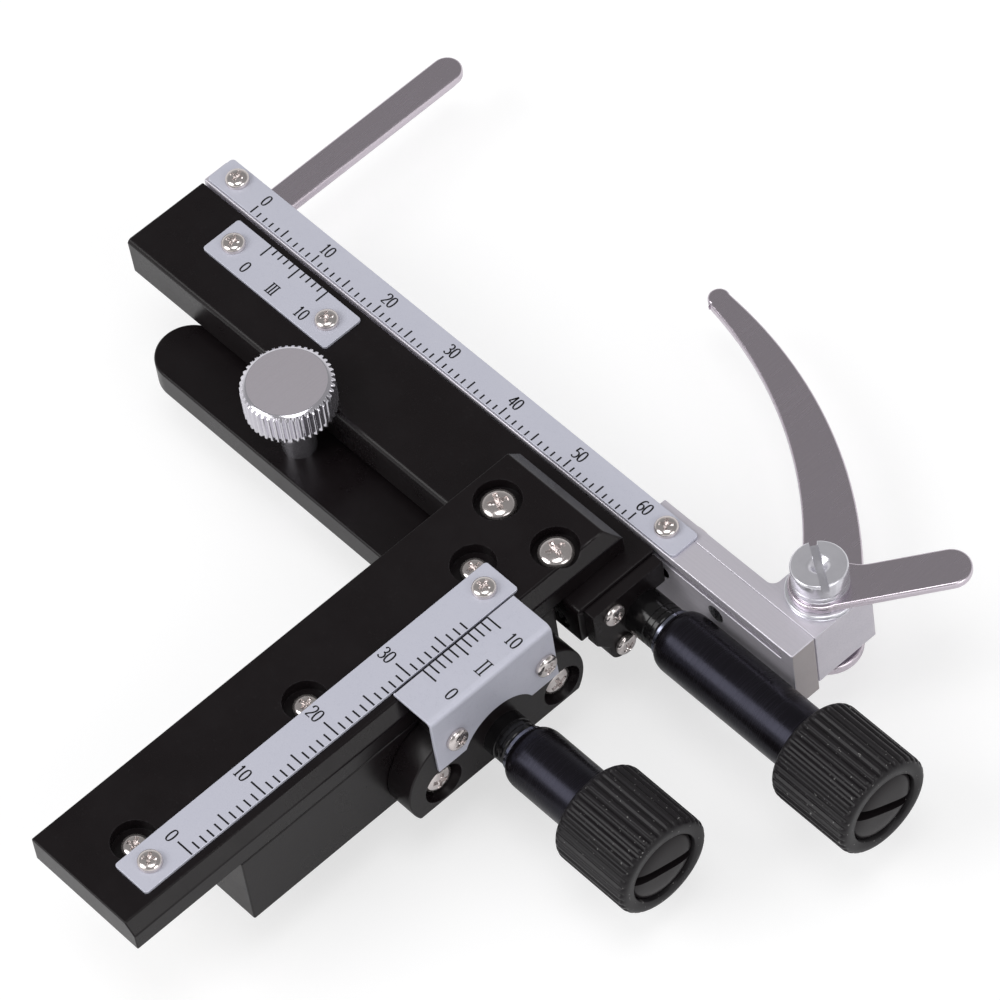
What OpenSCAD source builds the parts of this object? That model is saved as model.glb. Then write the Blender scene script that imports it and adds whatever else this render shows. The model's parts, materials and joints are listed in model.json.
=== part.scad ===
// Mechanical microscope stage: a clamp-on X-Y specimen mover.
//
// Frame: millimetres, +Z up. The origin is the clamp screw's axis at the underside of the arm,
// so z = 0 is the surface of the microscope's stage. +X runs along the slide bar toward the
// knobs, +Y toward the two fingers that hold the specimen slide.
//
// The Y carriage (plate, slider and body) travels along Y on the guide block, driven by a
// pinion and rack. The slide bar travels along X on the body, driven by a multi-start screw
// that meshes with a rack of slanted teeth. A sprung finger turns on the bar's bracket.

/* [Clamp arm and screw] */
// Thickness of the arm
arm_t = 3.7; // [3:0.1:5]
// Width of the arm, also the diameter of its rounded end
arm_w = 8; // [7:0.1:9]
// Distance from the clamp screw to the guide block
arm_reach = 23.5; // [21:0.5:28]
// Distance from the clamp screw to the centre of the arm's rounded end
arm_tail = 18; // [14:0.5:22]
// Diameter of the clamp screw's thread
stud_d = 3; // [2.5:0.1:4]
// Length of thread below the arm
stud_l = 6; // [4:0.5:8]
// Diameter of the clamp screw's neck
neck_d = 4.3; // [4:0.1:5]
// Diameter over the knurl of the clamp screw's head
clamp_head_d = 10.4; // [9:0.1:12]
// Height of the clamp screw's head
clamp_head_h = 3.6; // [3:0.1:5]
// Number of grooves round the clamp screw's head
clamp_grooves = 44; // [30:2:60]
// Diameter of the locating pin under the arm
locator_d = 2.5; // [2:0.1:3]
// Length of the locating pin below the arm
locator_l = 2.5; // [1.5:0.1:4]

/* [Guide block] */
// Width of the guide block and of the plate that travels on it
guide_w = 15.95; // [14:0.05:18]
// Length of the guide block
guide_len = 43.7; // [38:0.1:50]
// Height of the guide block
guide_h = 10.3; // [9.5:0.1:11]
// Distance from the clamp screw to the guide block's far end
guide_far = 1.6; // [1:0.1:2.2]

/* [Y carriage] */
// Thickness of the Y plate
plate_t = 3.6; // [3:0.1:4.5]
// Length of the Y plate
plate_len = 67.85; // [60:0.05:74]
// Distance from the clamp screw to the plate's far end
plate_far = 11.7; // [11:0.1:12.5]
// Chamfer along the plate's outer edge
plate_chamfer = 1.3; // [0.6:0.1:1.6]
// Half width of the dovetail slider at its narrow top
slider_top = 3.6; // [3.2:0.1:4]
// Half width of the dovetail slider at its wide foot
slider_foot = 4.75; // [4.4:0.05:5.2]
// Height of the dovetail slider
slider_h = 3.5; // [3:0.1:4]
// Inset of the slider's near end from the plate's near end
slider_inset = 2.15; // [0.5:0.05:5]

/* [Slide bar] */
// Length of the slide bar
bar_len = 92.3; // [86:0.1:100]
// Thickness of the slide bar
bar_t = 3.3; // [3:0.1:4]
// Height of the slide bar
bar_h = 9.2; // [8.8:0.1:9.4]
// Distance from the clamp screw to the bar's left end
bar_left = 30.3; // [28:0.1:33]
// Distance from the clamp screw to the bar's near face
bar_y = 14; // [13.8:0.1:15]

/* [X body] */
// Length of the body that carries the slide bar
body_len = 71.9; // [68:0.1:76]
// Width of the body
body_w = 11; // [10:0.1:11.2]
// Height of the body
body_h = 5.4; // [5:0.1:5.8]
// Radius along the body's near top edge
body_round = 0.6; // [0.3:0.1:1]

/* [Scales] */
// Thickness of the scale and vernier plates
scale_t = 0.4; // [0.3:0.05:0.6]
// Length of the X scale plate
x_scale_len = 74; // [70:0.5:80]
// Width of the X scale plate
x_scale_w = 3.85; // [3.5:0.05:4.2]
// Inset of the Y scale's near end from the Y plate's near end
y_scale_inset = 3.7; // [2:0.1:8]
// Width of the Y scale plate
y_scale_w = 5; // [4.6:0.1:5.4]
// Length of the X vernier plate
x_vernier_len = 20.05; // [18:0.05:24]
// Width of the X vernier plate
x_vernier_w = 5.35; // [5:0.05:5.8]
// Length of the Y vernier plate
y_vernier_len = 16.9; // [16:0.1:18]

/* [Fingers] */
// Width of the fixed finger
fixed_w = 3.7; // [3:0.1:4.4]
// Reach of the fixed finger from the bar's near face to its tip
fixed_len = 34.6; // [30:0.1:40]
// Thickness of both fingers
finger_t = 1.2; // [1:0.05:1.4]
// Drop of both fingers' undersides below the slide bar
finger_drop = 0.7; // [0.5:0.05:0.9]
// Radius of the sprung finger's outer edge
blade_outer_r = 57.5; // [54:0.5:62]
// Radius of the sprung finger's inner edge
blade_inner_r = 54.4; // [51:0.1:56]
// Opening angle of the sprung finger
finger_open = 38; // [20:1:40]
// Width of the thumb lever
tab_w = 4.65; // [4:0.05:5.5]
// Reach of the thumb lever from the pivot to the centre of its round tip
tab_reach = 13.4; // [11:0.1:16]

/* [Drive shafts and knobs] */
// Diameter of the knobs
knob_d = 12; // [10:0.1:12.6]
// Length of the X knob
x_knob_l = 11.06; // [9:0.1:13]
// Length of the Y knob
y_knob_l = 10.7; // [9:0.1:13]
// Number of grooves round each knob
knob_grooves = 36; // [24:1:48]
// Diameter of the sleeves between body and knobs
sleeve_d = 7.3; // [6.4:0.1:7.6]
// Gap between the slide bar's right end and the X knob
knob_clear = 6.2; // [5.4:0.1:9]
// Length of the Y sleeve
y_sleeve_l = 10.3; // [8:0.1:14]
// Outer diameter of the bushings
bush_d = 5.25; // [4.8:0.05:5.6]
// Diameter of the drive shafts
shaft_d = 2.6; // [2.4:0.1:2.8]
// Radial clearance of every running fit
running = 0.05; // [0.03:0.01:0.08]

/* [Gearing] */
// Module of the pinion and its rack
gear_m = 0.5; // [0.45:0.01:0.55]
// Teeth of the pinion
pinion_teeth = 10; // [9:1:10]
// Slide travel for one turn of the X knob
screw_lead = 12; // [11:0.5:13]
// Starts of the X drive screw
screw_starts = 8; // [7:1:8]

/* [Hidden] */
$fn = 48;

eps = 0.01;
over = 1;
gap = 0.1;

// Stack of heights
plate_z = guide_h + gap;
plate_top = plate_z + plate_t;
body_z = plate_z - body_h;
bar_top = plate_z + gap;
bar_z = bar_top - bar_h;
finger_z = bar_z - finger_drop;
plate_near = plate_far - plate_len;

// Guide block, plate and body in plan
guide_x = arm_reach;
guide_x1 = guide_x + guide_w;
guide_near = guide_far - guide_len;
body_far = bar_y - 0.3;
body_near = body_far - body_w;
body_x1 = guide_x1 + 2.25;
body_x = body_x1 - body_len;
bar_x = -bar_left;
bar_x1 = bar_x + bar_len;
bar_far = bar_y + bar_t;

// Clamp screw's shoulder in the arm and the relief below it
shoulder_r = (stud_d + neck_d) / 4 - 0.025;
relief_h = 0.5;

// Slider and pinion
slider_x = guide_x + guide_w / 2;
slider_z = plate_z - slider_h;
slider_near = plate_near + slider_inset;
slider_far = guide_far - 0.6;
pitch_r = gear_m * pinion_teeth / 2;
base_r = pitch_r * cos(20);
tooth_shift = 0.4 * gear_m;
tooth_up = 0.9 * gear_m;
tooth_down = 1.2 * gear_m;
flank_gap = 0.03;
rack_pitch = PI * gear_m;
rack_half_w = 2;
rack_seat = 1;
y_rack_z = slider_z - 0.1 - tooth_down;
pinion_z = y_rack_z - pitch_r - tooth_shift;
pinion_y = guide_far - 11.6;
pinion_w = 5;
pinion_x = slider_x - pinion_w / 2;

// Y flange, bushing, sleeve and knob
flange_t = 3.5;
flange_r = 6.4;
flange_len = 24.6;
flange_x1 = guide_x1 + flange_t;
y_flange_screw_y = [pinion_y - bush_d / 2 - 5.775, pinion_y + bush_d / 2 + 5.775];
y_flange_screw_z = pinion_z - 0.6;
flange_sink = 1.5;
y_bush_x1 = flange_x1 + 3.05;
washer_t = 0.5;
y_sleeve_x = y_bush_x1 + washer_t;
y_knob_x = y_sleeve_x + y_sleeve_l;
cap_r = 4.15;
cap_sink = 2.2;

// X drive shaft, screw, sleeve and knob
shaft_y = bar_y - 4;
shaft_z = body_z - 0.2;
bush_in = 5;
set_screw_z = plate_z - 4;
set_screw_x = body_x1 - 2.8;
end_plate_t = 1.5;
end_plate_x1 = body_x1 + end_plate_t;
x_bush_x1 = end_plate_x1 + 4.2;
x_sleeve_x = x_bush_x1 + washer_t;
x_knob_x = bar_x1 + knob_clear;
screw_root = 1.75;
screw_tip = 2.45;
screw_pitch_r = (screw_root + screw_tip) / 2;
screw_l = 6.7;
screw_x = max(body_x + 5, bar_x + 5.1);
axial_pitch = screw_lead / screw_starts;
screw_flank = 0.45;
screw_half = 0.21 * axial_pitch;
x_rack_tip = shaft_y + screw_root + gap;
x_rack_root = shaft_y + screw_tip + gap;
x_rack_seat = 0.4;
x_rack_h = 3;
x_rack_len = body_x1 - bush_in - 0.3 - bar_x;
journal_r = 1;
tail_x = body_x + 0.3;
tail_l = 3.7;
channel_r = shaft_d / 2 + 0.5;
rabbet_y = x_rack_tip - 0.25;
rabbet_z = shaft_z + x_rack_h / 2 + 0.12;

// Guide rail of the slide bar
rail_z = bar_top - 1.5;
rail_neck = 0.3;
rail_wide = 0.7;
rail_reach = bar_y + 1;
rail_root = body_far - 1.2;
groove_gap = 0.1;
groove_x1 = bar_x1 - 1.8;
slide_in = 54.8;
rail_x1 = groove_x1 - slide_in - 0.4;

// Bracket, pivot and fingers
pivot_x = bar_x1 - 3.7;
pivot_y = bar_far + 4.65;
bracket_x = bar_x1 - 7.8;
bracket_x1 = bar_x1 + 0.05;
bracket_y1 = bar_far + 8.2;
bracket_z = bar_z + 1.3;
tongue_x = min(bar_x1 - 24.1, bar_x + 0.4 + x_scale_len - 6.2);
tongue_t = 1.6;
cross_z = bar_z + 5.5;
bracket_screw_x = bar_x1 - 19.6;
bracket_dowel_x = bar_x1 - 11.7;
bracket_grip = bar_t - x_rack_seat - gap;
pivot_r = 1.4;
collar_r = 3.9;
collar_t = 0.7;
lever_z = bar_top + collar_t + running;
lever_t = 1;
lever_hub_r = 3.5;
pivot_head_r = 3.075;
pivot_head_h = 3.15;
spring_pocket_r = 2.9;
spring_floor = bracket_z + 1.2;
spring_r = 2.15;
spring_wire = 0.28;
spring_turns = 5;
spring_pitch = 0.8;
spring_z = spring_floor + 0.5;
spring_leg_z = bracket_z + 0.5;
tab_angle = 56;
tab_side = -1.07;
blade_hub_r = 3.9;
blade_outer_c = [pivot_x - 43.15, pivot_y - 32.87];
blade_inner_c = [pivot_x - 49.07, pivot_y - 31.74];
blade_tip = [pivot_x - 40.8, pivot_y + 23.45];
blade_tip_r = 1.25;

// Screws of the plates: head radius, head height, shank radius, shank length
small_screw = [1.35, 0.85, 0.75, 1.9];
flange_screw = [1.8, 1.1, 1, 4.5];
plate_screw = [2, 1.2, 1.2, 5.4];
slider_bore_r = 2.5;
slider_bore_h = 1.5;
slider_screw = [1.5, 0.95, 1, plate_t - slider_bore_h + slider_h - rack_seat - 0.3];
x_scale_screw_x = [bar_x + 3.15, bar_x + 0.4 + x_scale_len - 3.1];
x_scale_screw_y = bar_y + 2.25;
y_scale_y0 = plate_near + y_scale_inset;
y_scale_y1 = plate_far - 12.7;
y_scale_screw_y = [y_scale_y0 + 2.75, y_scale_y1 - 2.55];
x_vernier_x = body_x + 7.1;
x_vernier_y = body_near + 4.8;
x_vernier_screw_x = [x_vernier_x + 2.25, x_vernier_x + x_vernier_len - 2.55];
x_vernier_screw_y = x_vernier_y + 2.6;
slider_screw_y = [slider_near + 5, (slider_near + slider_far + 2) / 2, slider_far - 3];
slider_screw_x = slider_x - 0.125;
plate_screw_x = [guide_x + 3.7, guide_x1 - 3.4];
plate_screw_y = body_near + 2.6;
y_vernier_z = plate_top + gap;
y_vernier_x = guide_x1 - 1.85;
y_scale_x = y_vernier_x - 0.3 - y_scale_w;
y_vernier_y1 = pinion_y + 8;
y_vernier_drop = 8.6;
y_vernier_screw_y = [y_vernier_y1 - 14.15, y_vernier_y1 - 1.6];
y_vernier_screw_z = guide_h - 1;
lug_reach = bush_d / 2 + 1.55;
end_screw_yz = [[body_near + 3.4, plate_z - 2.3],
    [shaft_y - 0.7188 * lug_reach, shaft_z - 0.6948 * lug_reach]];
lug_r = 1.9;
arm_lap = 11;
arm_screw_x = [guide_x + 2.1, guide_x + arm_lap - 1.825];
arm_screw_y = arm_w / 2 - 5.2;

// ---------------------------------------------------------------- shared shapes

// A 2D outline in Y and Z, extruded along +X from x
module along_x(x, len) {
    translate([x, 0, 0]) rotate([90, 0, 90]) linear_extrude(len) children();
}

// A 2D outline in X and Z, extruded along +Y from y
module along_y(y, len) {
    translate([0, y + len, 0]) rotate([90, 0, 0]) linear_extrude(len) children();
}

module rod_x(x, len, r, y, z) {
    translate([x, y, z]) rotate([0, 90, 0]) cylinder(h = len, r = r);
}

module rod_y(y, len, r, x, z) {
    translate([x, y, z]) rotate([-90, 0, 0]) cylinder(h = len, r = r);
}

module box(lo, hi) {
    translate(lo) cube(hi - lo);
}

// Cross recess of a screw head, cut down from z
module cross_recess(r, depth, z) {
    for (a = [0, 90])
        rotate(a) translate([-r, -r * 0.19, z - depth]) cube([2 * r, r * 0.38, depth + over]);
}

// Domed head on a shank; the head's seat is at z = 0. s = [head r, head h, shank r, shank l]
module pan_screw(s, spin = 20) {
    rim = s[1] * 0.45;
    dome = [for (a = [0:15:90]) [s[0] * (0.62 + 0.38 * cos(a)), rim + (s[1] - rim) * sin(a)]];
    difference() {
        rotate_extrude()
            polygon(concat([[0, -s[3]], [s[2], -s[3]], [s[2], 0], [s[0], 0]], dome, [[0, s[1]]]));
        rotate(spin) cross_recess(s[0] * 0.52, s[1] * 0.62, s[1]);
    }
}

// Flat-topped countersunk screw; its top is at z = 0
module sunk_head_screw(s, spin = 20) {
    difference() {
        rotate_extrude()
            polygon([[0, -s[1] - s[3]], [s[2], -s[1] - s[3]], [s[2], -s[1]], [s[0], -0.25],
                     [s[0], 0], [0, 0]]);
        rotate(spin) cross_recess(s[0] * 0.52, s[1] * 0.6, 0);
    }
}

module sunk_hole(s, drop) {
    translate([0, 0, -drop - 0.25]) cylinder(h = drop + 0.25 + over, r = s[0]);
    translate([0, 0, -drop - s[1]]) cylinder(h = s[1] - 0.25, r1 = s[2], r2 = s[0]);
    translate([0, 0, -drop - s[1] - s[3]]) cylinder(h = s[3] + eps, r = s[2]);
}

// A flat plate with rounded corners of radius r
module plate(lo, hi, t, r) {
    translate([lo.x, lo.y, 0]) linear_extrude(t) union() {
        translate([r, 0]) square([hi.x - lo.x - 2 * r, hi.y - lo.y]);
        translate([0, r]) square([hi.x - lo.x, hi.y - lo.y - 2 * r]);
        for (x = [r, hi.x - lo.x - r], y = [r, hi.y - lo.y - r]) translate([x, y]) circle(r);
    }
}

// Outline with n straight grooves, for knobs and knurls
function grooved(r, depth, n) = [
    for (i = [0:n - 1], k = [0:3])
        let (a = 360 / n * (i + [0.12, 0.52, 0.66, 0.98][k]), q = k < 2 ? r : r - depth)
        [q * cos(a), q * sin(a)]
];

// ---------------------------------------------------------------- gearing

function involute(a) = tan(a) - a * PI / 180;
pitch_half_angle = (90 + 2 * 0.4 * tan(20) * 180 / PI) / pinion_teeth
    - flank_gap / pitch_r * 180 / PI;
function half_angle(r) =
    pitch_half_angle + (involute(20) - involute(acos(min(1, base_r / r)))) * 180 / PI;
pinion_tip_r = pitch_r + tooth_shift + tooth_up;
pinion_root_r = pitch_r + tooth_shift - tooth_up - 0.15;
flank_steps = 5;
function polar(r, a) = [r * cos(a), r * sin(a)];

// One tooth pointing along angle a, from root to root
function pinion_tooth(a) = concat(
    [polar(pinion_root_r, a - half_angle(base_r))],
    [for (i = [0:flank_steps])
        let (r = base_r + (pinion_tip_r - base_r) * i / flank_steps)
        polar(r, a - half_angle(r))],
    [for (i = [flank_steps:-1:0])
        let (r = base_r + (pinion_tip_r - base_r) * i / flank_steps)
        polar(r, a + half_angle(r))],
    [polar(pinion_root_r, a + half_angle(base_r))]
);

// Straight rack in (length, height), teeth down, n teeth; a gap is centred at 0
module rack_outline(first, last, back) {
    half = rack_pitch / 4 - flank_gap;
    tip = half - tooth_up * tan(20);
    root = half + tooth_down * tan(20);
    teeth = [for (i = [first:last])
        let (c = (i + 0.5) * rack_pitch)
        each [[c - root, tooth_down], [c - tip, -tooth_up], [c + tip, -tooth_up],
              [c + root, tooth_down]]];
    polygon(concat([[first * rack_pitch, tooth_down]], teeth,
        [[(last + 1) * rack_pitch, tooth_down], [(last + 1) * rack_pitch, back],
         [first * rack_pitch, back]]));
}

deg_per_mm = 360 / screw_lead;
function screw_half_width(r) = screw_half - screw_flank * (r - screw_pitch_r);

module screw_outline() {
    root_a = screw_half_width(screw_root) * deg_per_mm;
    tip_a = screw_half_width(screw_tip) * deg_per_mm;
    polygon([for (i = [0:screw_starts - 1])
        let (a = 360 / screw_starts * i)
        each [polar(screw_root, a - root_a), polar(screw_tip, a - tip_a),
              polar(screw_tip, a + tip_a), polar(screw_root, a + root_a)]]);
}

// ---------------------------------------------------------------- base

module dovetail_outline(top, foot, h, clear) {
    polygon([[-top - clear, h + over], [-top - clear, h], [-foot - clear, -clear],
             [foot + clear, -clear], [top + clear, h], [top + clear, h + over]]);
}

module guide_block() color([0.10, 0.10, 0.11]) {
    pocket_r = pinion_tip_r + 0.2;
    difference() {
        box([guide_x, guide_near, 0], [guide_x1, guide_far, guide_h]);
        translate([slider_x, 0, slider_z])
            along_y(guide_near - over, guide_len + 2 * over)
                dovetail_outline(slider_top, slider_foot, slider_h, gap);
        box([slider_x - rack_half_w - 0.3, guide_near - over, y_rack_z - tooth_up - 0.25],
            [slider_x + rack_half_w + 0.3, guide_far + over, slider_z]);
        rod_x(pinion_x - 0.3, pinion_w + 0.6, pocket_r, pinion_y, pinion_z);
        box([pinion_x - 0.3, pinion_y - pocket_r, -over],
            [pinion_x + pinion_w + 0.3, pinion_y + pocket_r, pinion_z]);
        rod_x(guide_x + 1.2, guide_w, journal_r + 0.2 + running, pinion_y, pinion_z);
        rod_x(slider_x, guide_w, shaft_d / 2 + running, pinion_y, pinion_z);
        box([guide_x - over, -arm_w / 2, -over], [guide_x + arm_lap, guide_far + over, arm_t]);
        for (x = arm_screw_x)
            translate([x, arm_screw_y, arm_t - eps]) cylinder(h = 3, r = flange_screw[2]);
        for (y = y_flange_screw_y)
            rod_x(flange_x1 - flange_sink - flange_screw[3], flange_screw[3], flange_screw[2],
                y, y_flange_screw_z);
    }
}

module clamp_arm() color([0.10, 0.10, 0.11]) {
    difference() {
        union() {
            translate([-arm_tail, 0, 0]) cylinder(h = arm_t, r = arm_w / 2);
            box([-arm_tail, -arm_w / 2, 0], [guide_x, arm_w / 2, arm_t]);
            box([guide_x - eps, -arm_w / 2, 0], [guide_x + arm_lap, guide_far, arm_t]);
        }
        translate([0, 0, -over]) cylinder(h = arm_t + 2 * over, r = shoulder_r + running);
        translate([-arm_tail, 0, -over]) cylinder(h = over + 2, r = locator_d / 2);
        for (x = arm_screw_x) translate([x, arm_screw_y, 0]) rotate([180, 0, 0])
            sunk_hole([1.8, 1, flange_screw[2], 3], 0.1);
    }
}

module arm_screws() color([0.75, 0.75, 0.77]) {
    for (x = arm_screw_x) translate([x, arm_screw_y, 0.1]) rotate([180, 0, 0])
        sunk_head_screw([1.8, 1, flange_screw[2], arm_t + 0.2]);
}

module locating_pin() color([0.75, 0.75, 0.77]) {
    translate([-arm_tail, 0, -locator_l]) cylinder(h = locator_l, r = locator_d / 2);
    translate([-arm_tail, 0, -eps]) cylinder(h = relief_h + 2 * eps, r = locator_d / 2 - 0.3);
    translate([-arm_tail, 0, relief_h]) cylinder(h = 2 - relief_h, r = locator_d / 2);
    translate([-arm_tail, 0, -locator_l - 0.3])
        cylinder(h = 0.3, r1 = locator_d / 2 - 0.3, r2 = locator_d / 2);
}

module clamp_screw() color([0.80, 0.80, 0.82]) {
    head_z = bar_top + 0.7;
    union() {
        translate([0, 0, -stud_l - 0.5]) cylinder(h = 0.5, r1 = stud_d / 2 - 0.5, r2 = stud_d / 2);
        translate([0, 0, -stud_l]) cylinder(h = stud_l, r = stud_d / 2);
        translate([0, 0, -eps]) cylinder(h = arm_t, r = stud_d / 2 - 0.3);
        translate([0, 0, relief_h]) cylinder(h = arm_t - relief_h + eps, r = shoulder_r);
        translate([0, 0, arm_t]) cylinder(h = head_z - arm_t + eps, r = neck_d / 2);
        intersection() {
            translate([0, 0, head_z]) linear_extrude(clamp_head_h)
                polygon(grooved(clamp_head_d / 2, 0.35, clamp_grooves));
            translate([0, 0, head_z]) rotate_extrude()
                polygon([[0, 0], [clamp_head_d / 2 - 0.6, 0], [clamp_head_d / 2 + 0.1, 0.6],
                         [clamp_head_d / 2 + 0.1, clamp_head_h - 0.7],
                         [clamp_head_d / 2 - 0.6, clamp_head_h], [0, clamp_head_h]]);
        }
    }
}

module y_flange_outline() {
    intersection() {
        union() {
            for (y = [guide_far - flange_r, guide_far - flange_len + flange_r])
                translate([y, pinion_z]) circle(flange_r);
            translate([guide_far - flange_len + flange_r, pinion_z - flange_r])
                square([flange_len - 2 * flange_r, 2 * flange_r]);
        }
        translate([guide_far - flange_len - over, 0]) square([flange_len + 2 * over, guide_h]);
    }
    translate([y_vernier_screw_y[0] - 1.5, pinion_z])
        square([y_vernier_screw_y[1] - y_vernier_screw_y[0] + 2.5, guide_h - pinion_z]);
}

module y_flange() color([0.10, 0.10, 0.11]) {
    difference() {
        along_x(guide_x1, flange_t) y_flange_outline();
        rod_x(guide_x1 - over, flange_t + 2 * over, bush_d / 2, pinion_y, pinion_z);
        for (y = y_flange_screw_y) {
            rod_x(guide_x1 - over, flange_t + 2 * over, flange_screw[2], y, y_flange_screw_z);
            translate([flange_x1 - flange_sink, y, y_flange_screw_z]) rotate([0, 90, 0])
                cylinder(h = flange_sink + eps, r1 = 2.1, r2 = 2.5);
        }
        for (y = y_vernier_screw_y)
            rod_x(flange_x1 - 1.6, 1.6 + over, small_screw[2], y, y_vernier_screw_z);
    }
}

module y_flange_screws() color([0.78, 0.78, 0.80]) {
    for (y = y_flange_screw_y)
        translate([flange_x1 - flange_sink, y, y_flange_screw_z]) rotate([0, 90, 0])
            pan_screw(flange_screw, y * 7);
}

// Plain bearing tube with a chamfered mouth
module bushing(x, x1, y, z) {
    difference() {
        union() {
            rod_x(x, x1 - x - 0.3, bush_d / 2, y, z);
            translate([x1 - 0.3, y, z]) rotate([0, 90, 0])
                cylinder(h = 0.3, r1 = bush_d / 2, r2 = bush_d / 2 - 0.3);
        }
        rod_x(x - over, x1 - x + 2 * over, shaft_d / 2 + running, y, z);
    }
}

module y_bushing() color([0.20, 0.20, 0.22]) {
    bushing(guide_x1, y_bush_x1, pinion_y, pinion_z);
}

// Folded plate: a leaf over the Y plate's edge and a flap down the flange's face
module y_vernier_plate() color([0.72, 0.75, 0.80]) {
    x1 = flange_x1 + scale_t;
    top = y_vernier_z + scale_t;
    fold = 0.8;
    y0 = y_vernier_y1 - y_vernier_len;
    difference() {
        along_y(y0, y_vernier_len) difference() {
            union() {
                translate([y_vernier_x, y_vernier_z])
                    square([x1 - fold - y_vernier_x, scale_t]);
                translate([x1 - fold, top - fold]) intersection() {
                    circle(fold);
                    square(fold);
                }
                translate([flange_x1, top - y_vernier_drop])
                    square([scale_t, y_vernier_drop - fold]);
            }
            translate([x1 - fold, top - fold]) circle(fold - scale_t);
        }
        rod_x(flange_x1 - over, 3, 5.2, pinion_y - 0.45, pinion_z);
        for (y = y_vernier_screw_y)
            rod_x(flange_x1 - over, 3, small_screw[2], y, y_vernier_screw_z);
    }
}

module y_vernier_screws() color([0.80, 0.80, 0.82]) {
    for (y = y_vernier_screw_y)
        translate([flange_x1 + scale_t, y, y_vernier_screw_z]) rotate([0, 90, 0])
            pan_screw([small_screw[0], small_screw[1], small_screw[2], 1.6], y * 5);
}

// ---------------------------------------------------------------- knobs

module washer(x, y, z) {
    difference() {
        rod_x(x + 0.02, washer_t - 0.04, bush_d / 2 + 0.3, y, z);
        rod_x(x - over, washer_t + 2 * over, shaft_d / 2, y, z);
    }
}

// Tube from x to x1 with a rounded shoulder at its start
module sleeve(x, x1, y, z) {
    round_r = 1.8;
    r = sleeve_d / 2;
    difference() {
        translate([x, y, z]) rotate([0, 90, 0]) rotate_extrude()
            polygon(concat([[0, 0]],
                [for (a = [0:15:90]) [r - round_r * 0.55 * (1 - sin(a)), round_r * (1 - cos(a))]],
                [[r, x1 - x], [0, x1 - x]]));
        rod_x(x - over, x1 - x + 2 * over, shaft_d / 2, y, z);
    }
}

// Grooved knob with a counterbored face
module knob(x, len, y, z) {
    translate([x, y, z]) rotate([0, 90, 0]) difference() {
        intersection() {
            rotate([0, 0, 5]) linear_extrude(len)
                polygon(grooved(knob_d / 2, 0.3, knob_grooves));
            rotate_extrude()
                polygon([[0, 0], [knob_d / 2 - 1, 0], [knob_d / 2 + 0.05, 1.05],
                         [knob_d / 2 + 0.05, len - 0.75], [knob_d / 2 - 0.7, len], [0, len]]);
        }
        translate([0, 0, -over]) cylinder(h = len + 2 * over, r = shaft_d / 2);
        translate([0, 0, len - cap_sink]) cylinder(h = cap_sink + over, r = cap_r + 0.12);
    }
}

// Domed disc with a slot and a threaded shank, seated in the knob's counterbore
module cap_screw(x, y, z, spin) {
    dome = [for (a = [0:15:90]) [cap_r * sin(90 - a), cap_sink - 0.55 + 0.6 * sin(a)]];
    translate([x - cap_sink, y, z]) rotate([0, 90, 0]) difference() {
        union() {
            rotate_extrude() polygon(concat([[0, 0], [cap_r, 0]], dome));
            translate([0, 0, -3]) cylinder(h = 3 + eps, r = 0.9);
        }
        rotate(spin) translate([-cap_r - over, -0.45, cap_sink - 0.75])
            cube([2 * cap_r + 2 * over, 0.9, over + 1]);
    }
}

module y_pinion_shaft() color([0.70, 0.70, 0.72]) {
    x1 = y_knob_x + y_knob_l - cap_sink;
    journal_x = guide_x + 1.4;
    difference() {
        union() {
            along_x(pinion_x, pinion_w) translate([pinion_y, pinion_z])
                polygon([for (i = [0:pinion_teeth - 1])
                    each pinion_tooth(90 + 360 / pinion_teeth * i)]);
            rod_x(journal_x, pinion_x - journal_x + eps, journal_r + 0.2, pinion_y, pinion_z);
            rod_x(pinion_x + pinion_w - eps, x1 - pinion_x - pinion_w + eps, shaft_d / 2,
                pinion_y, pinion_z);
        }
        rod_x(x1 - 3, 3 + over, 0.9, pinion_y, pinion_z);
    }
}

module y_washer() color([0.80, 0.80, 0.82]) washer(y_bush_x1, pinion_y, pinion_z);
module y_sleeve() color([0.14, 0.14, 0.16]) sleeve(y_sleeve_x, y_knob_x, pinion_y, pinion_z);
module y_knob() color([0.08, 0.08, 0.09]) knob(y_knob_x, y_knob_l, pinion_y, pinion_z);
module y_cap_screw() color([0.08, 0.08, 0.09])
    cap_screw(y_knob_x + y_knob_l, pinion_y, pinion_z, 71.5);

module x_screw_shaft() color([0.70, 0.70, 0.72]) {
    x1 = x_knob_x + x_knob_l - cap_sink;
    difference() {
        union() {
            translate([screw_x, shaft_y, shaft_z]) rotate([90, 0, 90])
                linear_extrude(screw_l, twist = -screw_l * deg_per_mm, slices = 36)
                    screw_outline();
            rod_x(tail_x, screw_x - tail_x + 0.5, journal_r, shaft_y, shaft_z);
            rod_x(screw_x + screw_l - 0.5, x1 - screw_x - screw_l + 0.5, shaft_d / 2,
                shaft_y, shaft_z);
        }
        rod_x(x1 - 3, 3 + over, 0.9, shaft_y, shaft_z);
    }
}

module x_washer() color([0.80, 0.80, 0.82]) washer(x_bush_x1, shaft_y, shaft_z);
module x_sleeve() color([0.14, 0.14, 0.16]) sleeve(x_sleeve_x, x_knob_x, shaft_y, shaft_z);
module x_knob() color([0.08, 0.08, 0.09]) knob(x_knob_x, x_knob_l, shaft_y, shaft_z);
module x_cap_screw() color([0.08, 0.08, 0.09])
    cap_screw(x_knob_x + x_knob_l, shaft_y, shaft_z, 60.5);

// ---------------------------------------------------------------- Y carriage

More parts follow.
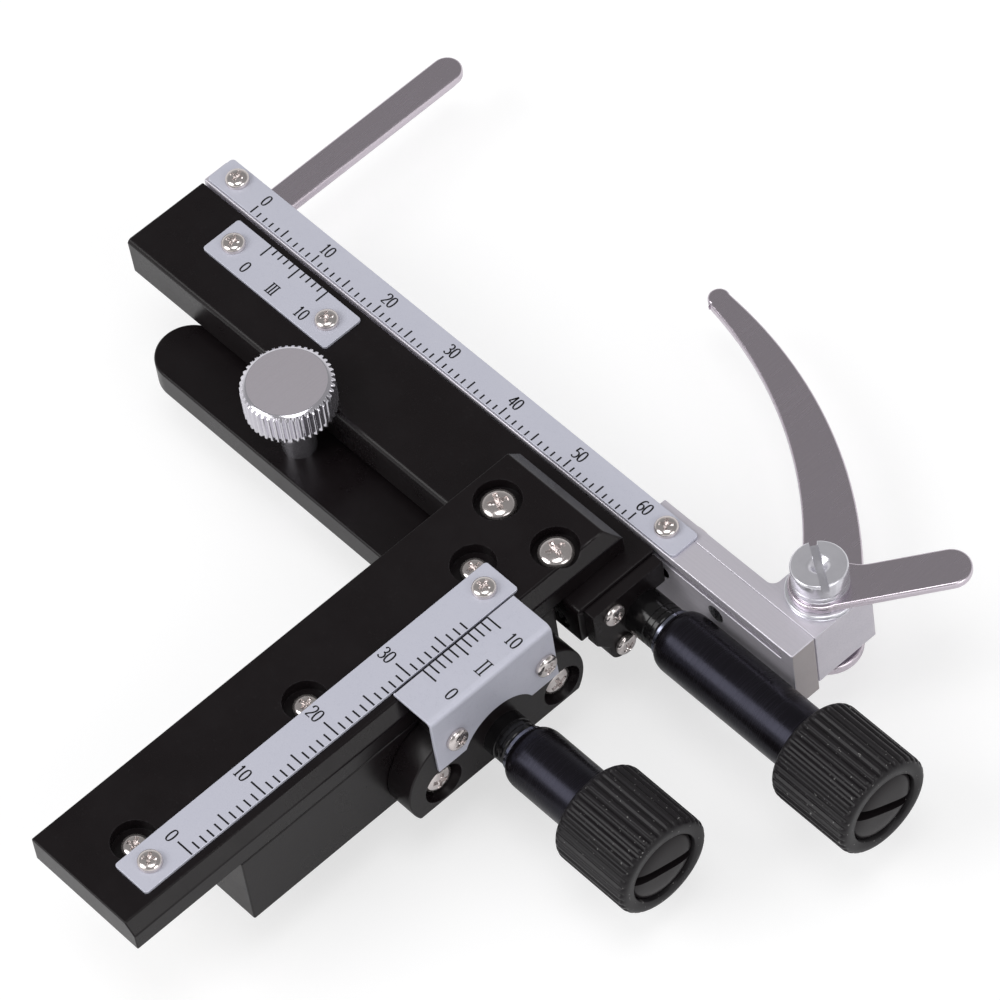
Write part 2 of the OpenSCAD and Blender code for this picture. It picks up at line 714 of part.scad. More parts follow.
module y_plate() color([0.10, 0.10, 0.11]) {
    difference() {
        box([guide_x, plate_near, plate_z], [guide_x1, plate_far, plate_top]);
        along_y(plate_near - over, plate_len + 2 * over)
            polygon([[guide_x1 - plate_chamfer, plate_top + eps],
                     [guide_x1 + eps, plate_top - plate_chamfer], [guide_x1 + over, plate_top + over],
                     [guide_x1 - plate_chamfer, plate_top + over]]);
        along_x(guide_x - over, guide_w + 2 * over)
            polygon([[plate_far - 1.6, plate_top + eps], [plate_far + eps, plate_top - 1.6],
                     [plate_far + over, plate_top + over], [plate_far - 1.6, plate_top + over]]);
        for (y = slider_screw_y) translate([slider_screw_x, y, 0]) {
            translate([0, 0, plate_top - slider_bore_h])
                cylinder(h = slider_bore_h + over, r = slider_bore_r);
            translate([0, 0, plate_z - over]) cylinder(h = plate_t + over, r = slider_screw[2]);
        }
        for (x = plate_screw_x) translate([x, plate_screw_y, 0]) {
            translate([0, 0, plate_top - 1.4]) cylinder(h = 2, r = 2.65);
            translate([0, 0, plate_z - over]) cylinder(h = plate_t + over, r = plate_screw[2]);
        }
        for (y = y_scale_screw_y) translate([y_scale_x + y_scale_w / 2, y, plate_top - 1.7])
            cylinder(h = 2, r = small_screw[2]);
    }
}

module y_slider() color([0.66, 0.67, 0.70]) {
    difference() {
        translate([slider_x, 0, slider_z])
            along_y(slider_near, slider_far - slider_near)
                polygon([[-slider_top, slider_h], [-slider_foot, 0], [slider_foot, 0],
                         [slider_top, slider_h]]);
        box([slider_x - rack_half_w, slider_near - over, slider_z - over],
            [slider_x + rack_half_w, slider_far + over, slider_z + rack_seat]);
        for (y = slider_screw_y) translate([slider_screw_x, y, slider_z + rack_seat])
            cylinder(h = slider_h, r = slider_screw[2]);
    }
}

module y_rack() color([0.72, 0.66, 0.48]) {
    intersection() {
        translate([0, pinion_y, y_rack_z]) along_x(slider_x - rack_half_w, 2 * rack_half_w)
            rack_outline(floor((slider_near - pinion_y) / rack_pitch),
                ceil((slider_far - pinion_y) / rack_pitch), slider_z + rack_seat - y_rack_z);
        box([0, slider_near, 0], [100, slider_far, guide_h]);
    }
}

module slider_screws() color([0.72, 0.72, 0.74]) {
    for (y = slider_screw_y) translate([slider_screw_x, y, plate_top - slider_bore_h])
        pan_screw(slider_screw, y * 3);
}

module y_scale_plate() color([0.72, 0.75, 0.80]) {
    difference() {
        translate([0, 0, plate_top])
            plate([y_scale_x, y_scale_y0], [y_scale_x + y_scale_w, y_scale_y1],
                scale_t, 0.4);
        for (y = y_scale_screw_y) translate([y_scale_x + y_scale_w / 2, y, plate_top - over])
            cylinder(h = 3, r = small_screw[2]);
    }
}

module y_scale_screws() color([0.80, 0.80, 0.82]) {
    for (y = y_scale_screw_y)
        translate([y_scale_x + y_scale_w / 2, y, plate_top + scale_t])
            pan_screw(small_screw, y * 4);
}

module x_body_outline() {
    difference() {
        translate([body_near, body_z]) square([body_w, body_h]);
        translate([body_near, plate_z - body_round]) difference() {
            translate([-over, 0]) square([body_round + over, body_round + over]);
            translate([body_round, 0]) circle(body_round);
        }
        translate([rabbet_y, body_z - over]) square([body_w, rabbet_z - body_z + over]);
        translate([rail_root, rail_z - rail_wide]) square([body_w, 2 * rail_wide]);
    }
}

module x_body() color([0.10, 0.10, 0.11]) {
    boss_l = 4;
    difference() {
        union() {
            along_x(body_x, body_len) x_body_outline();
            along_x(body_x1 - boss_l, boss_l) {
                translate([end_screw_yz[1][0], end_screw_yz[1][1]]) circle(lug_r);
                translate([end_screw_yz[1][0] - lug_r, end_screw_yz[1][1]])
                    square([2 * lug_r, body_z - end_screw_yz[1][1] + eps]);
            }
        }
        rod_x(screw_x - 0.6, screw_l + 1.2, screw_tip + 0.3, shaft_y, shaft_z);
        rod_x(body_x - over, body_len + 2 * over, channel_r, shaft_y, shaft_z);
        for (p = end_screw_yz) rod_x(body_x1 - 1.6, 1.6 + over, small_screw[2], p[0], p[1]);
        rod_y(body_near - over, shaft_y - channel_r - body_near + over, 1.1,
            set_screw_x, set_screw_z);
        for (x = plate_screw_x) translate([x, plate_screw_y, plate_top - 1.4 - plate_screw[3]])
            cylinder(h = plate_screw[3], r = plate_screw[2]);
        for (x = x_vernier_screw_x) translate([x, x_vernier_screw_y, plate_z - 1.7])
            cylinder(h = 3, r = small_screw[2]);
        translate([tail_x + tail_l / 2, shaft_y - 3.1, body_z - over])
            cylinder(h = over + 2.2, r = small_screw[2]);
    }
}

module plate_screws() color([0.80, 0.80, 0.82]) {
    for (x = plate_screw_x) translate([x, plate_screw_y, plate_top - 1.4])
        pan_screw(plate_screw, x * 9);
}

module x_vernier_plate() color([0.72, 0.75, 0.80]) {
    difference() {
        translate([0, 0, plate_z])
            plate([x_vernier_x, x_vernier_y],
                [x_vernier_x + x_vernier_len, x_vernier_y + x_vernier_w], scale_t, 0.4);
        for (x = x_vernier_screw_x) translate([x, x_vernier_screw_y, plate_z - over])
            cylinder(h = 3, r = small_screw[2]);
    }
}

module x_vernier_screws() color([0.80, 0.80, 0.82]) {
    for (x = x_vernier_screw_x) translate([x, x_vernier_screw_y, plate_z + scale_t])
        pan_screw([small_screw[0], small_screw[1], small_screw[2], 1.6], x * 6);
}

// Dovetail rail on the body's far face; the slide bar hangs on it
module x_guide_rail() color([0.66, 0.67, 0.70]) {
    along_x(body_x, rail_x1 - body_x)
        polygon([[rail_root, rail_z - rail_wide], [body_far, rail_z - rail_wide],
                 [body_far, rail_z - rail_neck], [bar_y, rail_z - rail_neck],
                 [rail_reach, rail_z - rail_wide], [rail_reach, rail_z + rail_wide],
                 [bar_y, rail_z + rail_neck], [body_far, rail_z + rail_neck],
                 [body_far, rail_z + rail_wide], [rail_root, rail_z + rail_wide]]);
}

module x_end_plate() color([0.12, 0.12, 0.13]) {
    lug = end_screw_yz[1];
    difference() {
        along_x(body_x1, end_plate_t) union() {
            polygon([[body_near + 0.8, plate_z - 0.5], [body_near + 0.8, shaft_z],
                     [body_near + 2.6, shaft_z - 2.2], [shaft_y, shaft_z - 3.6],
                     [rabbet_y, shaft_z - 3.6], [rabbet_y, rabbet_z],
                     [body_far - 0.2, rabbet_z], [body_far - 0.2, plate_z - 0.5]]);
            translate(lug) circle(lug_r);
            translate([lug[0] - lug_r, lug[1]]) square([2 * lug_r, 2]);
        }
        rod_x(body_x1 - over, end_plate_t + 2 * over, bush_d / 2, shaft_y, shaft_z);
        for (p = end_screw_yz)
            rod_x(body_x1 - over, end_plate_t + 2 * over, small_screw[2], p[0], p[1]);
    }
}

module end_plate_screws() color([0.72, 0.72, 0.74]) {
    for (p = end_screw_yz) translate([end_plate_x1, p[0], p[1]]) rotate([0, 90, 0])
        pan_screw([1.3, 0.8, small_screw[2], 3], p[0] * 8);
}

module bushing_set_screw() color([0.30, 0.30, 0.32]) {
    difference() {
        rod_y(body_near + 0.2, shaft_y - channel_r - body_near - 0.2, 1.1,
            set_screw_x, set_screw_z);
        translate([set_screw_x, body_near, set_screw_z]) rotate([0, 30, 0])
            cube([0.35, 1.6, 2.4], center = true);
    }
}

module x_bushing() color([0.20, 0.20, 0.22]) {
    bushing(body_x1, x_bush_x1, shaft_y, shaft_z);
    difference() {
        rod_x(body_x1 - bush_in, bush_in + eps, channel_r, shaft_y, shaft_z);
        rod_x(body_x1 - bush_in - over, bush_in + 2 * over, shaft_d / 2 + running,
            shaft_y, shaft_z);
    }
}

module x_tail_bearing() color([0.55, 0.55, 0.58]) {
    foot_z = shaft_z - 2.4;
    difference() {
        union() {
            box([tail_x, shaft_y - 4.2, foot_z], [tail_x + tail_l, shaft_y + 1.3, body_z]);
            intersection() {
                rod_x(tail_x, tail_l, channel_r, shaft_y, shaft_z);
                box([tail_x, shaft_y - channel_r, foot_z],
                    [tail_x + tail_l, shaft_y + 1.3, plate_z]);
            }
        }
        rod_x(tail_x - over, tail_l + 2 * over, journal_r + running, shaft_y, shaft_z);
        translate([tail_x + tail_l / 2, shaft_y - 3.1, foot_z - over])
            cylinder(h = 6, r = small_screw[2]);
    }
}

module tail_bearing_screw() color([0.72, 0.72, 0.74]) {
    foot_z = shaft_z - 2.4;
    translate([tail_x + tail_l / 2, shaft_y - 3.1, foot_z]) rotate([180, 0, 0])
        pan_screw([1.1, 0.7, small_screw[2], body_z + 2.2 - foot_z], 0);
}

// ---------------------------------------------------------------- X slide

module slide_bar() color([0.66, 0.67, 0.70]) {
    difference() {
        box([bar_x, bar_y, bar_z], [bar_x1, bar_far, bar_top]);
        along_x(bar_x - over, groove_x1 - bar_x + over)
            polygon([[bar_y - over, rail_z - rail_neck - groove_gap],
                     [bar_y, rail_z - rail_neck - groove_gap],
                     [rail_reach + groove_gap, rail_z - rail_wide - groove_gap],
                     [rail_reach + groove_gap, rail_z + rail_wide + groove_gap],
                     [bar_y, rail_z + rail_neck + groove_gap],
                     [bar_y - over, rail_z + rail_neck + groove_gap]]);
        box([bar_x - over, bar_y - over, shaft_z - x_rack_h / 2],
            [bar_x + x_rack_len, bar_y + x_rack_seat, shaft_z + x_rack_h / 2]);
        box([bar_x - over, bar_y - over, bar_z - over],
            [bar_x + 0.4 + fixed_w, bar_far + over, finger_z + finger_t]);
        rod_y(bar_far - bracket_grip, bracket_grip + over, 1, bracket_screw_x, cross_z);
        rod_y(bar_y - over, bar_t + 2 * over, 1.1, bracket_dowel_x, cross_z);
        for (x = x_scale_screw_x) translate([x, x_scale_screw_y, bar_top - 1.9])
            cylinder(h = 3, r = small_screw[2]);
        translate([bar_x + 0.4 + fixed_w / 2, bar_y + bar_t / 2, 0])
            cylinder(h = finger_z + finger_t + 2, r = 0.7);
    }
}

// Slanted teeth that a multi-start screw drives endways
module x_rack() color([0.72, 0.66, 0.48]) {
    slant = atan(screw_lead / (2 * PI * screw_pitch_r));
    half_tip = (screw_half_width(screw_pitch_r) - screw_flank * (screw_pitch_r - screw_root - gap))
        * cos(slant);
    half_root = (screw_half_width(screw_pitch_r) + screw_flank * (screw_tip + gap - screw_pitch_r))
        * cos(slant);
    pitch = axial_pitch * cos(slant);
    first = floor((bar_x - screw_x) / axial_pitch) - 2;
    last = ceil((bar_x + x_rack_len - screw_x) / axial_pitch) + 2;
    ribs = [for (i = [first:last])
        let (c = (i + 0.5) * pitch)
        each [[c - half_root, x_rack_root], [c - half_tip, x_rack_tip],
              [c + half_tip, x_rack_tip], [c + half_root, x_rack_root]]];
    edge0 = first * pitch;
    edge1 = (last + 1) * pitch;
    intersection() {
        translate([screw_x, 0, shaft_z]) rotate([0, slant, 0])
            translate([0, 0, -x_rack_len]) linear_extrude(2 * x_rack_len)
                polygon(concat([[edge0, x_rack_root]], ribs, [[edge1, x_rack_root],
                    [edge1, bar_y + x_rack_seat], [edge0, bar_y + x_rack_seat]]));
        box([bar_x, 0, shaft_z - x_rack_h / 2],
            [bar_x + x_rack_len, bar_y + x_rack_seat, shaft_z + x_rack_h / 2]);
    }
}

module x_scale_plate() color([0.72, 0.75, 0.80]) {
    difference() {
        translate([0, 0, bar_top])
            plate([bar_x + 0.4, bar_y + 0.15], [bar_x + 0.4 + x_scale_len, bar_y + 0.15 + x_scale_w],
                scale_t, 0.5);
        for (x = x_scale_screw_x) translate([x, x_scale_screw_y, bar_top - over])
            cylinder(h = 3, r = small_screw[2]);
    }
}

module x_scale_screws() color([0.80, 0.80, 0.82]) {
    for (x = x_scale_screw_x) translate([x, x_scale_screw_y, bar_top + scale_t])
        pan_screw(small_screw, x * 5);
}

module fixed_finger() color([0.58, 0.57, 0.58]) {
    x0 = bar_x + 0.4;
    tip_r = fixed_w / 2;
    difference() {
        union() {
            box([x0, bar_y, finger_z], [x0 + fixed_w, bar_y + fixed_len - tip_r,
                finger_z + finger_t]);
            translate([x0 + tip_r, bar_y + fixed_len - tip_r, finger_z])
                cylinder(h = finger_t, r = tip_r);
        }
        translate([x0 + tip_r, bar_y + bar_t / 2, finger_z]) rotate([180, 0, 0])
            sunk_hole([1.2, 0.6, 0.7, 2], 0);
    }
}

module fixed_finger_screw() color([0.72, 0.72, 0.74]) {
    translate([bar_x + 0.4 + fixed_w / 2, bar_y + bar_t / 2, finger_z]) rotate([180, 0, 0])
        sunk_head_screw([1.2, 0.6, 0.7, finger_t + 1.4]);
}

module finger_bracket() color([0.62, 0.62, 0.65]) {
    inner_r = 1;
    difference() {
        union() {
            box([bracket_x, bar_far, bracket_z], [bracket_x1, bracket_y1, bar_top]);
            box([tongue_x, bar_far, bracket_z], [bracket_x, bar_far + tongue_t, bar_top]);
            difference() {
                box([bracket_x - inner_r, bar_far + tongue_t - eps, bracket_z],
                    [bracket_x, bar_far + tongue_t + inner_r, bar_top]);
                translate([bracket_x - inner_r, bar_far + tongue_t + inner_r, 0])
                    cylinder(h = 20, r = inner_r);
            }
        }
        translate([pivot_x, pivot_y, 0]) cylinder(h = 20, r = pivot_r + running);
        translate([pivot_x, pivot_y, spring_floor]) cylinder(h = 20, r = spring_pocket_r);
        translate([pivot_x + spring_r, pivot_y, spring_leg_z])
            cylinder(h = 3, r = spring_wire + 0.04);
        rod_y(bar_far - over, 10, 1, bracket_screw_x, cross_z);
        rod_y(bar_far - 1, 3, 1.1, bracket_dowel_x, cross_z);
    }
}

module bracket_screw() color([0.78, 0.78, 0.80]) {
    translate([bracket_screw_x, bar_far + tongue_t, cross_z]) rotate([-90, 0, 0])
        pan_screw([2, 1.2, 1, tongue_t + bracket_grip], 15);
}

module bracket_dowel() color([0.70, 0.70, 0.72]) {
    rod_y(bar_y, bar_t + 2, 1.1, bracket_dowel_x, cross_z);
}

module pivot_collar() color([0.70, 0.70, 0.72]) {
    translate([pivot_x, pivot_y, bar_top]) difference() {
        rotate_extrude()
            polygon([[pivot_r + running, 0], [collar_r, 0], [collar_r, collar_t - 0.2],
                     [collar_r - 0.2, collar_t], [pivot_r + running, collar_t]]);
        translate([0, 0, -over]) rotate_extrude()
            translate([pivot_r + 0.35, 0]) square([1.05, over + 0.4]);
    }
}

function ring(c, u, v, r, n) = [for (k = [0:n - 1])
    c + r * (cos(360 / n * k) * u + sin(360 / n * k) * v)];
function unit(a) = a / norm(a);

// Round wire swept along a list of points, closed at both ends
module wire(path, r, n = 6) {
    last = len(path) - 1;
    dirs = [for (i = [0:last]) unit(path[min(i + 1, last)] - path[max(i - 1, 0)])];
    side = [for (d = dirs) unit(cross(d, abs(d.z) > 0.9 ? [1, 0, 0] : [0, 0, 1]))];
    points = [for (i = [0:last]) each ring(path[i], side[i], cross(side[i], dirs[i]), r, n)];
    walls = [for (i = [0:last - 1], k = [0:n - 1]) each
        [[i * n + k, i * n + (k + 1) % n, (i + 1) * n + (k + 1) % n],
         [i * n + k, (i + 1) * n + (k + 1) % n, (i + 1) * n + k]]];
    caps = [[for (k = [n - 1:-1:0]) k], [for (k = [0:n - 1]) last * n + k]];
    polyhedron(points, concat(walls, caps));
}

module torsion_spring() color([0.60, 0.60, 0.63]) {
    steps = 16 * spring_turns;
    coil = [for (i = [0:steps])
        [spring_r * cos(360 * i / 16), spring_r * sin(360 * i / 16),
         spring_z + spring_pitch * i / 16]];
    translate([pivot_x, pivot_y, 0]) {
        wire(coil, spring_wire);
        translate([spring_r, 0, spring_leg_z])
            cylinder(h = spring_z - spring_leg_z, r = spring_wire);
        translate([spring_r, 0, spring_z + spring_pitch * spring_turns])
            cylinder(h = bar_top + 0.2 - spring_z - spring_pitch * spring_turns,
                r = spring_wire);
    }
}

// ---------------------------------------------------------------- sprung finger

// Concave corner of radius f between a disc of radius r at the origin and the line x = side
module corner_fill(r, side, f, mirror_x) {
    cx = side + f;
    cy = sqrt((r + f) * (r + f) - cx * cx);
    mirror([mirror_x, 0]) difference() {
        polygon([[0, 0], [cx * r / (r + f), cy * r / (r + f)], [cx, cy], [side, cy], [0, cy]]);
        translate([cx, cy]) circle(f);
    }
}

module thumb_lever() color([0.60, 0.59, 0.60]) {
    translate([pivot_x, pivot_y, lever_z]) rotate(tab_angle - 90) difference() {
        linear_extrude(lever_t) union() {
            circle(lever_hub_r);
            translate([-tab_side - tab_w / 2, 0]) square([tab_w, tab_reach]);
            translate([-tab_side, tab_reach]) circle(tab_w / 2);
            corner_fill(lever_hub_r, tab_w / 2 + tab_side, 4, 1);
        }
        translate([0, 0, -over]) cylinder(h = 5, r = pivot_r);
    }
}

module pivot_shaft() color([0.70, 0.70, 0.72]) {
    translate([pivot_x, pivot_y, 0]) difference() {
        union() {
            translate([0, 0, finger_z]) cylinder(h = lever_z + lever_t - finger_z, r = pivot_r);
            translate([0, 0, finger_z + finger_t])
                cylinder(h = bracket_z - running - finger_z - finger_t, r = pivot_r + 1.2);
        }
        translate([0, 0, lever_z + lever_t - 4]) cylinder(h = 5, r = 0.8);
    }
}

module pivot_screw() color([0.80, 0.80, 0.82]) {
    translate([pivot_x, pivot_y, lever_z + lever_t]) difference() {
        rotate_extrude()
            polygon([[0, -3.8], [0.8, -3.8], [0.8, 0], [pivot_head_r, 0],
                     [pivot_head_r, pivot_head_h - 0.25], [pivot_head_r - 0.25, pivot_head_h],
                     [1.1, pivot_head_h], [0, pivot_head_h - 0.7]]);
        rotate(-32) translate([-5, -0.45, pivot_head_h - 1]) cube([10, 0.9, 2]);
    }
}

module finger_blade() color([0.58, 0.57, 0.58]) {
    reach = 90;
    a0 = atan2(blade_tip.y - blade_outer_c.y, blade_tip.x - blade_outer_c.x);
    a1 = atan2(pivot_y - blade_outer_c.y, pivot_x - blade_outer_c.x);
    translate([0, 0, finger_z]) difference() {
        linear_extrude(finger_t) union() {
            intersection() {
                difference() {
                    translate(blade_outer_c) circle(blade_outer_r, $fn = 180);
                    translate(blade_inner_c) circle(blade_inner_r, $fn = 180);
                }
                translate(blade_outer_c)
                    polygon([[0, 0], polar(reach, a1), polar(reach, (a0 + a1) / 2),
                             polar(reach, a0)]);
            }
            translate(blade_tip) circle(blade_tip_r);
            translate([pivot_x, pivot_y]) circle(blade_hub_r);
        }
        translate([pivot_x, pivot_y, -over]) cylinder(h = 5, r = pivot_r);
    }
}

guide_block();
clamp_arm();
arm_screws();
locating_pin();
clamp_screw();
y_flange();
y_flange_screws();
y_bushing();
y_vernier_plate();
y_vernier_screws();
y_pinion_shaft();
y_washer();
y_sleeve();
y_knob();
y_cap_screw();
y_plate();
y_slider();
y_rack();
slider_screws();
y_scale_plate();
y_scale_screws();
x_body();
plate_screws();
x_vernier_plate();
x_vernier_screws();
x_guide_rail();
x_end_plate();
end_plate_screws();
bushing_set_screw();
x_bushing();
x_tail_bearing();
tail_bearing_screw();
x_screw_shaft();
x_washer();
x_sleeve();
x_knob();
x_cap_screw();
slide_bar();
x_rack();
x_scale_plate();
x_scale_screws();
fixed_finger();
fixed_finger_screw();
finger_bracket();
bracket_screw();
bracket_dowel();
pivot_collar();
torsion_spring();
thumb_lever();
pivot_shaft();
pivot_screw();
finger_blade();
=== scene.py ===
"""Looks of the mechanical microscope stage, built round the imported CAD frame.

Lengths in this file are millimetres in the part's own frame: the origin is the clamp screw's
axis at the arm's underside, +X runs along the slide bar to the knobs and +Y to the fingers.
Meshes are turned into metres when they become Blender objects.
"""
from __future__ import annotations

import json
import logging
import math
from dataclasses import dataclass, field, replace
from enum import Enum
from typing import Callable, Sequence

import bmesh
import bpy
import numpy as np
from mathutils import Matrix, Vector

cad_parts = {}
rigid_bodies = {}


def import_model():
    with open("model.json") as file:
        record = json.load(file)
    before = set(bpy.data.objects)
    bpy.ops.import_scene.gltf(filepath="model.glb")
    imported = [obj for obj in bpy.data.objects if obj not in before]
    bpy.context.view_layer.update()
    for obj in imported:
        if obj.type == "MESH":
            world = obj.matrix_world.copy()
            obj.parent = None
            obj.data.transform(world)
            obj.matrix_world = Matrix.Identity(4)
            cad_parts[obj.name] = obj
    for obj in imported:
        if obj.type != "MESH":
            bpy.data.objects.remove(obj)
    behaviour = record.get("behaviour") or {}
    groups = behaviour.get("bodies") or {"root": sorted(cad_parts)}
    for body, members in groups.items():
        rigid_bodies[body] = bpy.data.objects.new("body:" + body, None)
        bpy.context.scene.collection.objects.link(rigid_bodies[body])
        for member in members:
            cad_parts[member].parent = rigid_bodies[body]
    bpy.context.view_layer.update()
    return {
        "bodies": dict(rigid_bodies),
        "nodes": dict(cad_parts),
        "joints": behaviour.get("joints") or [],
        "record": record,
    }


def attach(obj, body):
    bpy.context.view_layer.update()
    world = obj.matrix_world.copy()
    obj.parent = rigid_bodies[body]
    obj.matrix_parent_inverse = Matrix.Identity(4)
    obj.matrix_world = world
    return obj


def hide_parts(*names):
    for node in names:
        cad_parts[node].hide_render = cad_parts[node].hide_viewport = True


LOG = logging.getLogger("microscope_stage")
MM = 0.001
TAU = 2.0 * math.pi
TINY = 1e-9
Array = np.ndarray
Colour = tuple[float, float, float]
Pair = tuple[float, float]
Node = bpy.types.Node
Socket = bpy.types.NodeSocket
AXES = ("Along X", "Along Y", "Along Z")


# ------------------------------------------------------------------ meshes

class Facing(Enum):
    """Which way a turned piece's own +Z points, as the three columns (own x, own y, own z)."""

    UP = ((1, 0, 0), (0, 1, 0), (0, 0, 1))
    DOWN = ((1, 0, 0), (0, -1, 0), (0, 0, -1))
    ALONG_X = ((0, 1, 0), (0, 0, 1), (1, 0, 0))
    ALONG_Y = ((0, 0, 1), (1, 0, 0), (0, 1, 0))


@dataclass
class Shell:
    """Points (n, 3) in millimetres and the quads or triangles between them."""

    points: Array
    faces: list[Array] = field(default_factory=list)

    def placed(self, at: Sequence[float], facing: Facing = Facing.UP, spin: float = 0.0) -> "Shell":
        """Turns the shell by spin degrees about its own Z, faces it, and moves it.

        Args:
            at: Where the shell's own origin goes.
            facing: Which way its own Z points.
            spin: Turn about its own Z in degrees, before it is faced.

        Returns:
            The moved shell.
        """
        c, s = math.cos(math.radians(spin)), math.sin(math.radians(spin))
        turned = self.points @ np.array([[c, s, 0.0], [-s, c, 0.0], [0.0, 0.0, 1.0]])
        return Shell(turned @ np.array(facing.value, float) + np.array(at, float), self.faces)


def grid_faces(rows: int, cols: int, close_rows: bool = False, close_cols: bool = False) -> Array:
    """Quads of a grid of points numbered row by row.

    Args:
        rows: Number of rows of points.
        cols: Number of points in each row.
        close_rows: True if the last row joins the first.
        close_cols: True if each row's last point joins its first.

    Returns:
        An (n, 4) array of point numbers.
    """
    r, c = np.meshgrid(np.arange(rows if close_rows else rows - 1),
                       np.arange(cols if close_cols else cols - 1), indexing="ij")
    r, c = r.ravel(), c.ravel()
    r1, c1 = (r + 1) % rows, (c + 1) % cols
    return np.stack([r * cols + c, r * cols + c1, r1 * cols + c1, r1 * cols + c], axis=1)


def lathe(profile: Sequence[Pair], steps: int,
          shape: Callable[[Array, Array, Array], Array] | None = None, closed: bool = False) -> Shell:
    """Surface of revolution: point = (r cos t, r sin t, z) for each profile point and angle t.

    Args:
        profile: (radius, height) points, going up the outside.
        steps: Number of angles round the axis.
        shape: Gives the radius from the grids of radius, angle and height, for knurls.
        closed: True if the profile's last point joins its first, as on a tube.

    Returns:
        The closed shell.
    """
    r, z = np.array(profile, float).T
    angle = np.arange(steps) * TAU / steps
    radius, turn = np.meshgrid(r, angle, indexing="ij")
    height = np.repeat(z[:, None], steps, axis=1)
    if shape is not None:
        radius = shape(radius, turn, height)
    points = np.stack([radius * np.cos(turn), radius * np.sin(turn), height], axis=-1)
    return Shell(points.reshape(-1, 3), [grid_faces(len(r), steps, closed, True)])


def rounded(r0: float, z0: float, r1: float, z1: float, steps: int) -> list[Pair]:
    """Quarter ellipse from (r0, z0) to (r1, z1), leaving r0 upright, for a turned shoulder."""
    a = np.linspace(0.0, math.pi / 2, steps + 1)
    return list(zip(r1 + (r0 - r1) * np.cos(a), z0 + (z1 - z0) * np.sin(a)))


def hollowed(r0: float, z0: float, r1: float, z1: float, steps: int) -> list[Pair]:
    """Quarter ellipse from (r0, z0) to (r1, z1), arriving at r1 upright."""
    a = np.linspace(0.0, math.pi / 2, steps + 1)
    return list(zip(r0 + (r1 - r0) * np.sin(a), z1 + (z0 - z1) * np.cos(a)))


def sliced_disc(radius: float, low: float, top: Callable[[Array, Array], Array],
                slot_half: float) -> Shell:
    """Round solid made of slices x = constant, so that a slot along y has straight walls.

    Each slice is a closed loop: from the centre of the underside out to the rim, up the wall,
    over the top surface z = top(x, y), and down the other wall.

    Args:
        radius: Radius of the disc.
        low: Height of its underside.
        top: Height of its top surface over (x, y), slot included.
        slot_half: Half width of the slot.

    Returns:
        The closed shell.
    """
    wall, lip, clear = 0.02, 0.1, 0.3
    rim_slices, points_across = 14, 41
    out = np.array([slot_half + wall, slot_half + lip])
    first = math.asin((slot_half + clear) / radius)
    far = radius * np.sin(np.linspace(first, math.pi / 2, rim_slices))
    half = np.concatenate([[slot_half - wall], out, far])
    x = np.concatenate([-half[::-1], [0.0], half])
    chord = np.sqrt(np.maximum(radius ** 2 - x ** 2, 0.0))
    across = np.sin(np.linspace(-math.pi / 2, math.pi / 2, points_across))
    y = chord[:, None] * across[None, :]
    z = top(np.repeat(x[:, None], len(across), axis=1), y)
    loop_y = np.concatenate([y[:, :1] * 0, y[:, :1], y, y[:, -1:]], axis=1)
    flat = np.full_like(y[:, :1], low)
    loop_z = np.concatenate([flat, flat, z, flat], axis=1)
    loop_x = np.repeat(x[:, None], loop_y.shape[1], axis=1)
    points = np.stack([loop_x, loop_y, loop_z], axis=-1)
    return Shell(points.reshape(-1, 3), [grid_faces(len(x), loop_y.shape[1], False, True)])


def ribbon(path: Array, half: Array, low: float, high: float) -> Shell:
    """Flat band of varying half width along a path in the plane, with thickness.

    The two edges are the path moved by plus and minus its half width along its left normal.

    Args:
        path: (n, 2) points.
        half: (n,) half widths.
        low: Height of its underside.
        high: Height of its top.

    Returns:
        The closed shell.
    """
    step = np.gradient(path, axis=0)
    step /= np.maximum(np.linalg.norm(step, axis=1, keepdims=True), TINY)
    left = np.stack([-step[:, 1], step[:, 0]], axis=1) * half[:, None]
    rows = [np.column_stack([side, np.full(len(path), z)]) for side, z in
            ((path + left, high), (path + left, low), (path - left, low), (path - left, high))]
    points = np.stack(rows, axis=1).reshape(-1, 3)
    n = len(path)
    caps = np.array([[0, 1, 2, 3], [4 * n - 1, 4 * n - 2, 4 * n - 3, 4 * n - 4]])
    return Shell(points, [grid_faces(n, 4, False, True), caps])


def smooth_path(points: Sequence[Pair]) -> Array:
    """Catmull-Rom curve through the points, with the end spans carried on straight."""
    samples = 8
    p = np.array(points, float)
    q = np.concatenate([[2 * p[0] - p[1]], p, [2 * p[-1] - p[-2]]])
    t = (np.arange(samples) / samples)[None, :, None]
    a, b, c, d = (q[i:len(p) - 1 + i][:, None, :] for i in range(4))
    curve = 0.5 * (2 * b + (c - a) * t + (2 * a - 5 * b + 4 * c - d) * t ** 2
                   + (3 * b - a - 3 * c + d) * t ** 3)
    return np.concatenate([curve.reshape(-1, 2), p[-1:]])


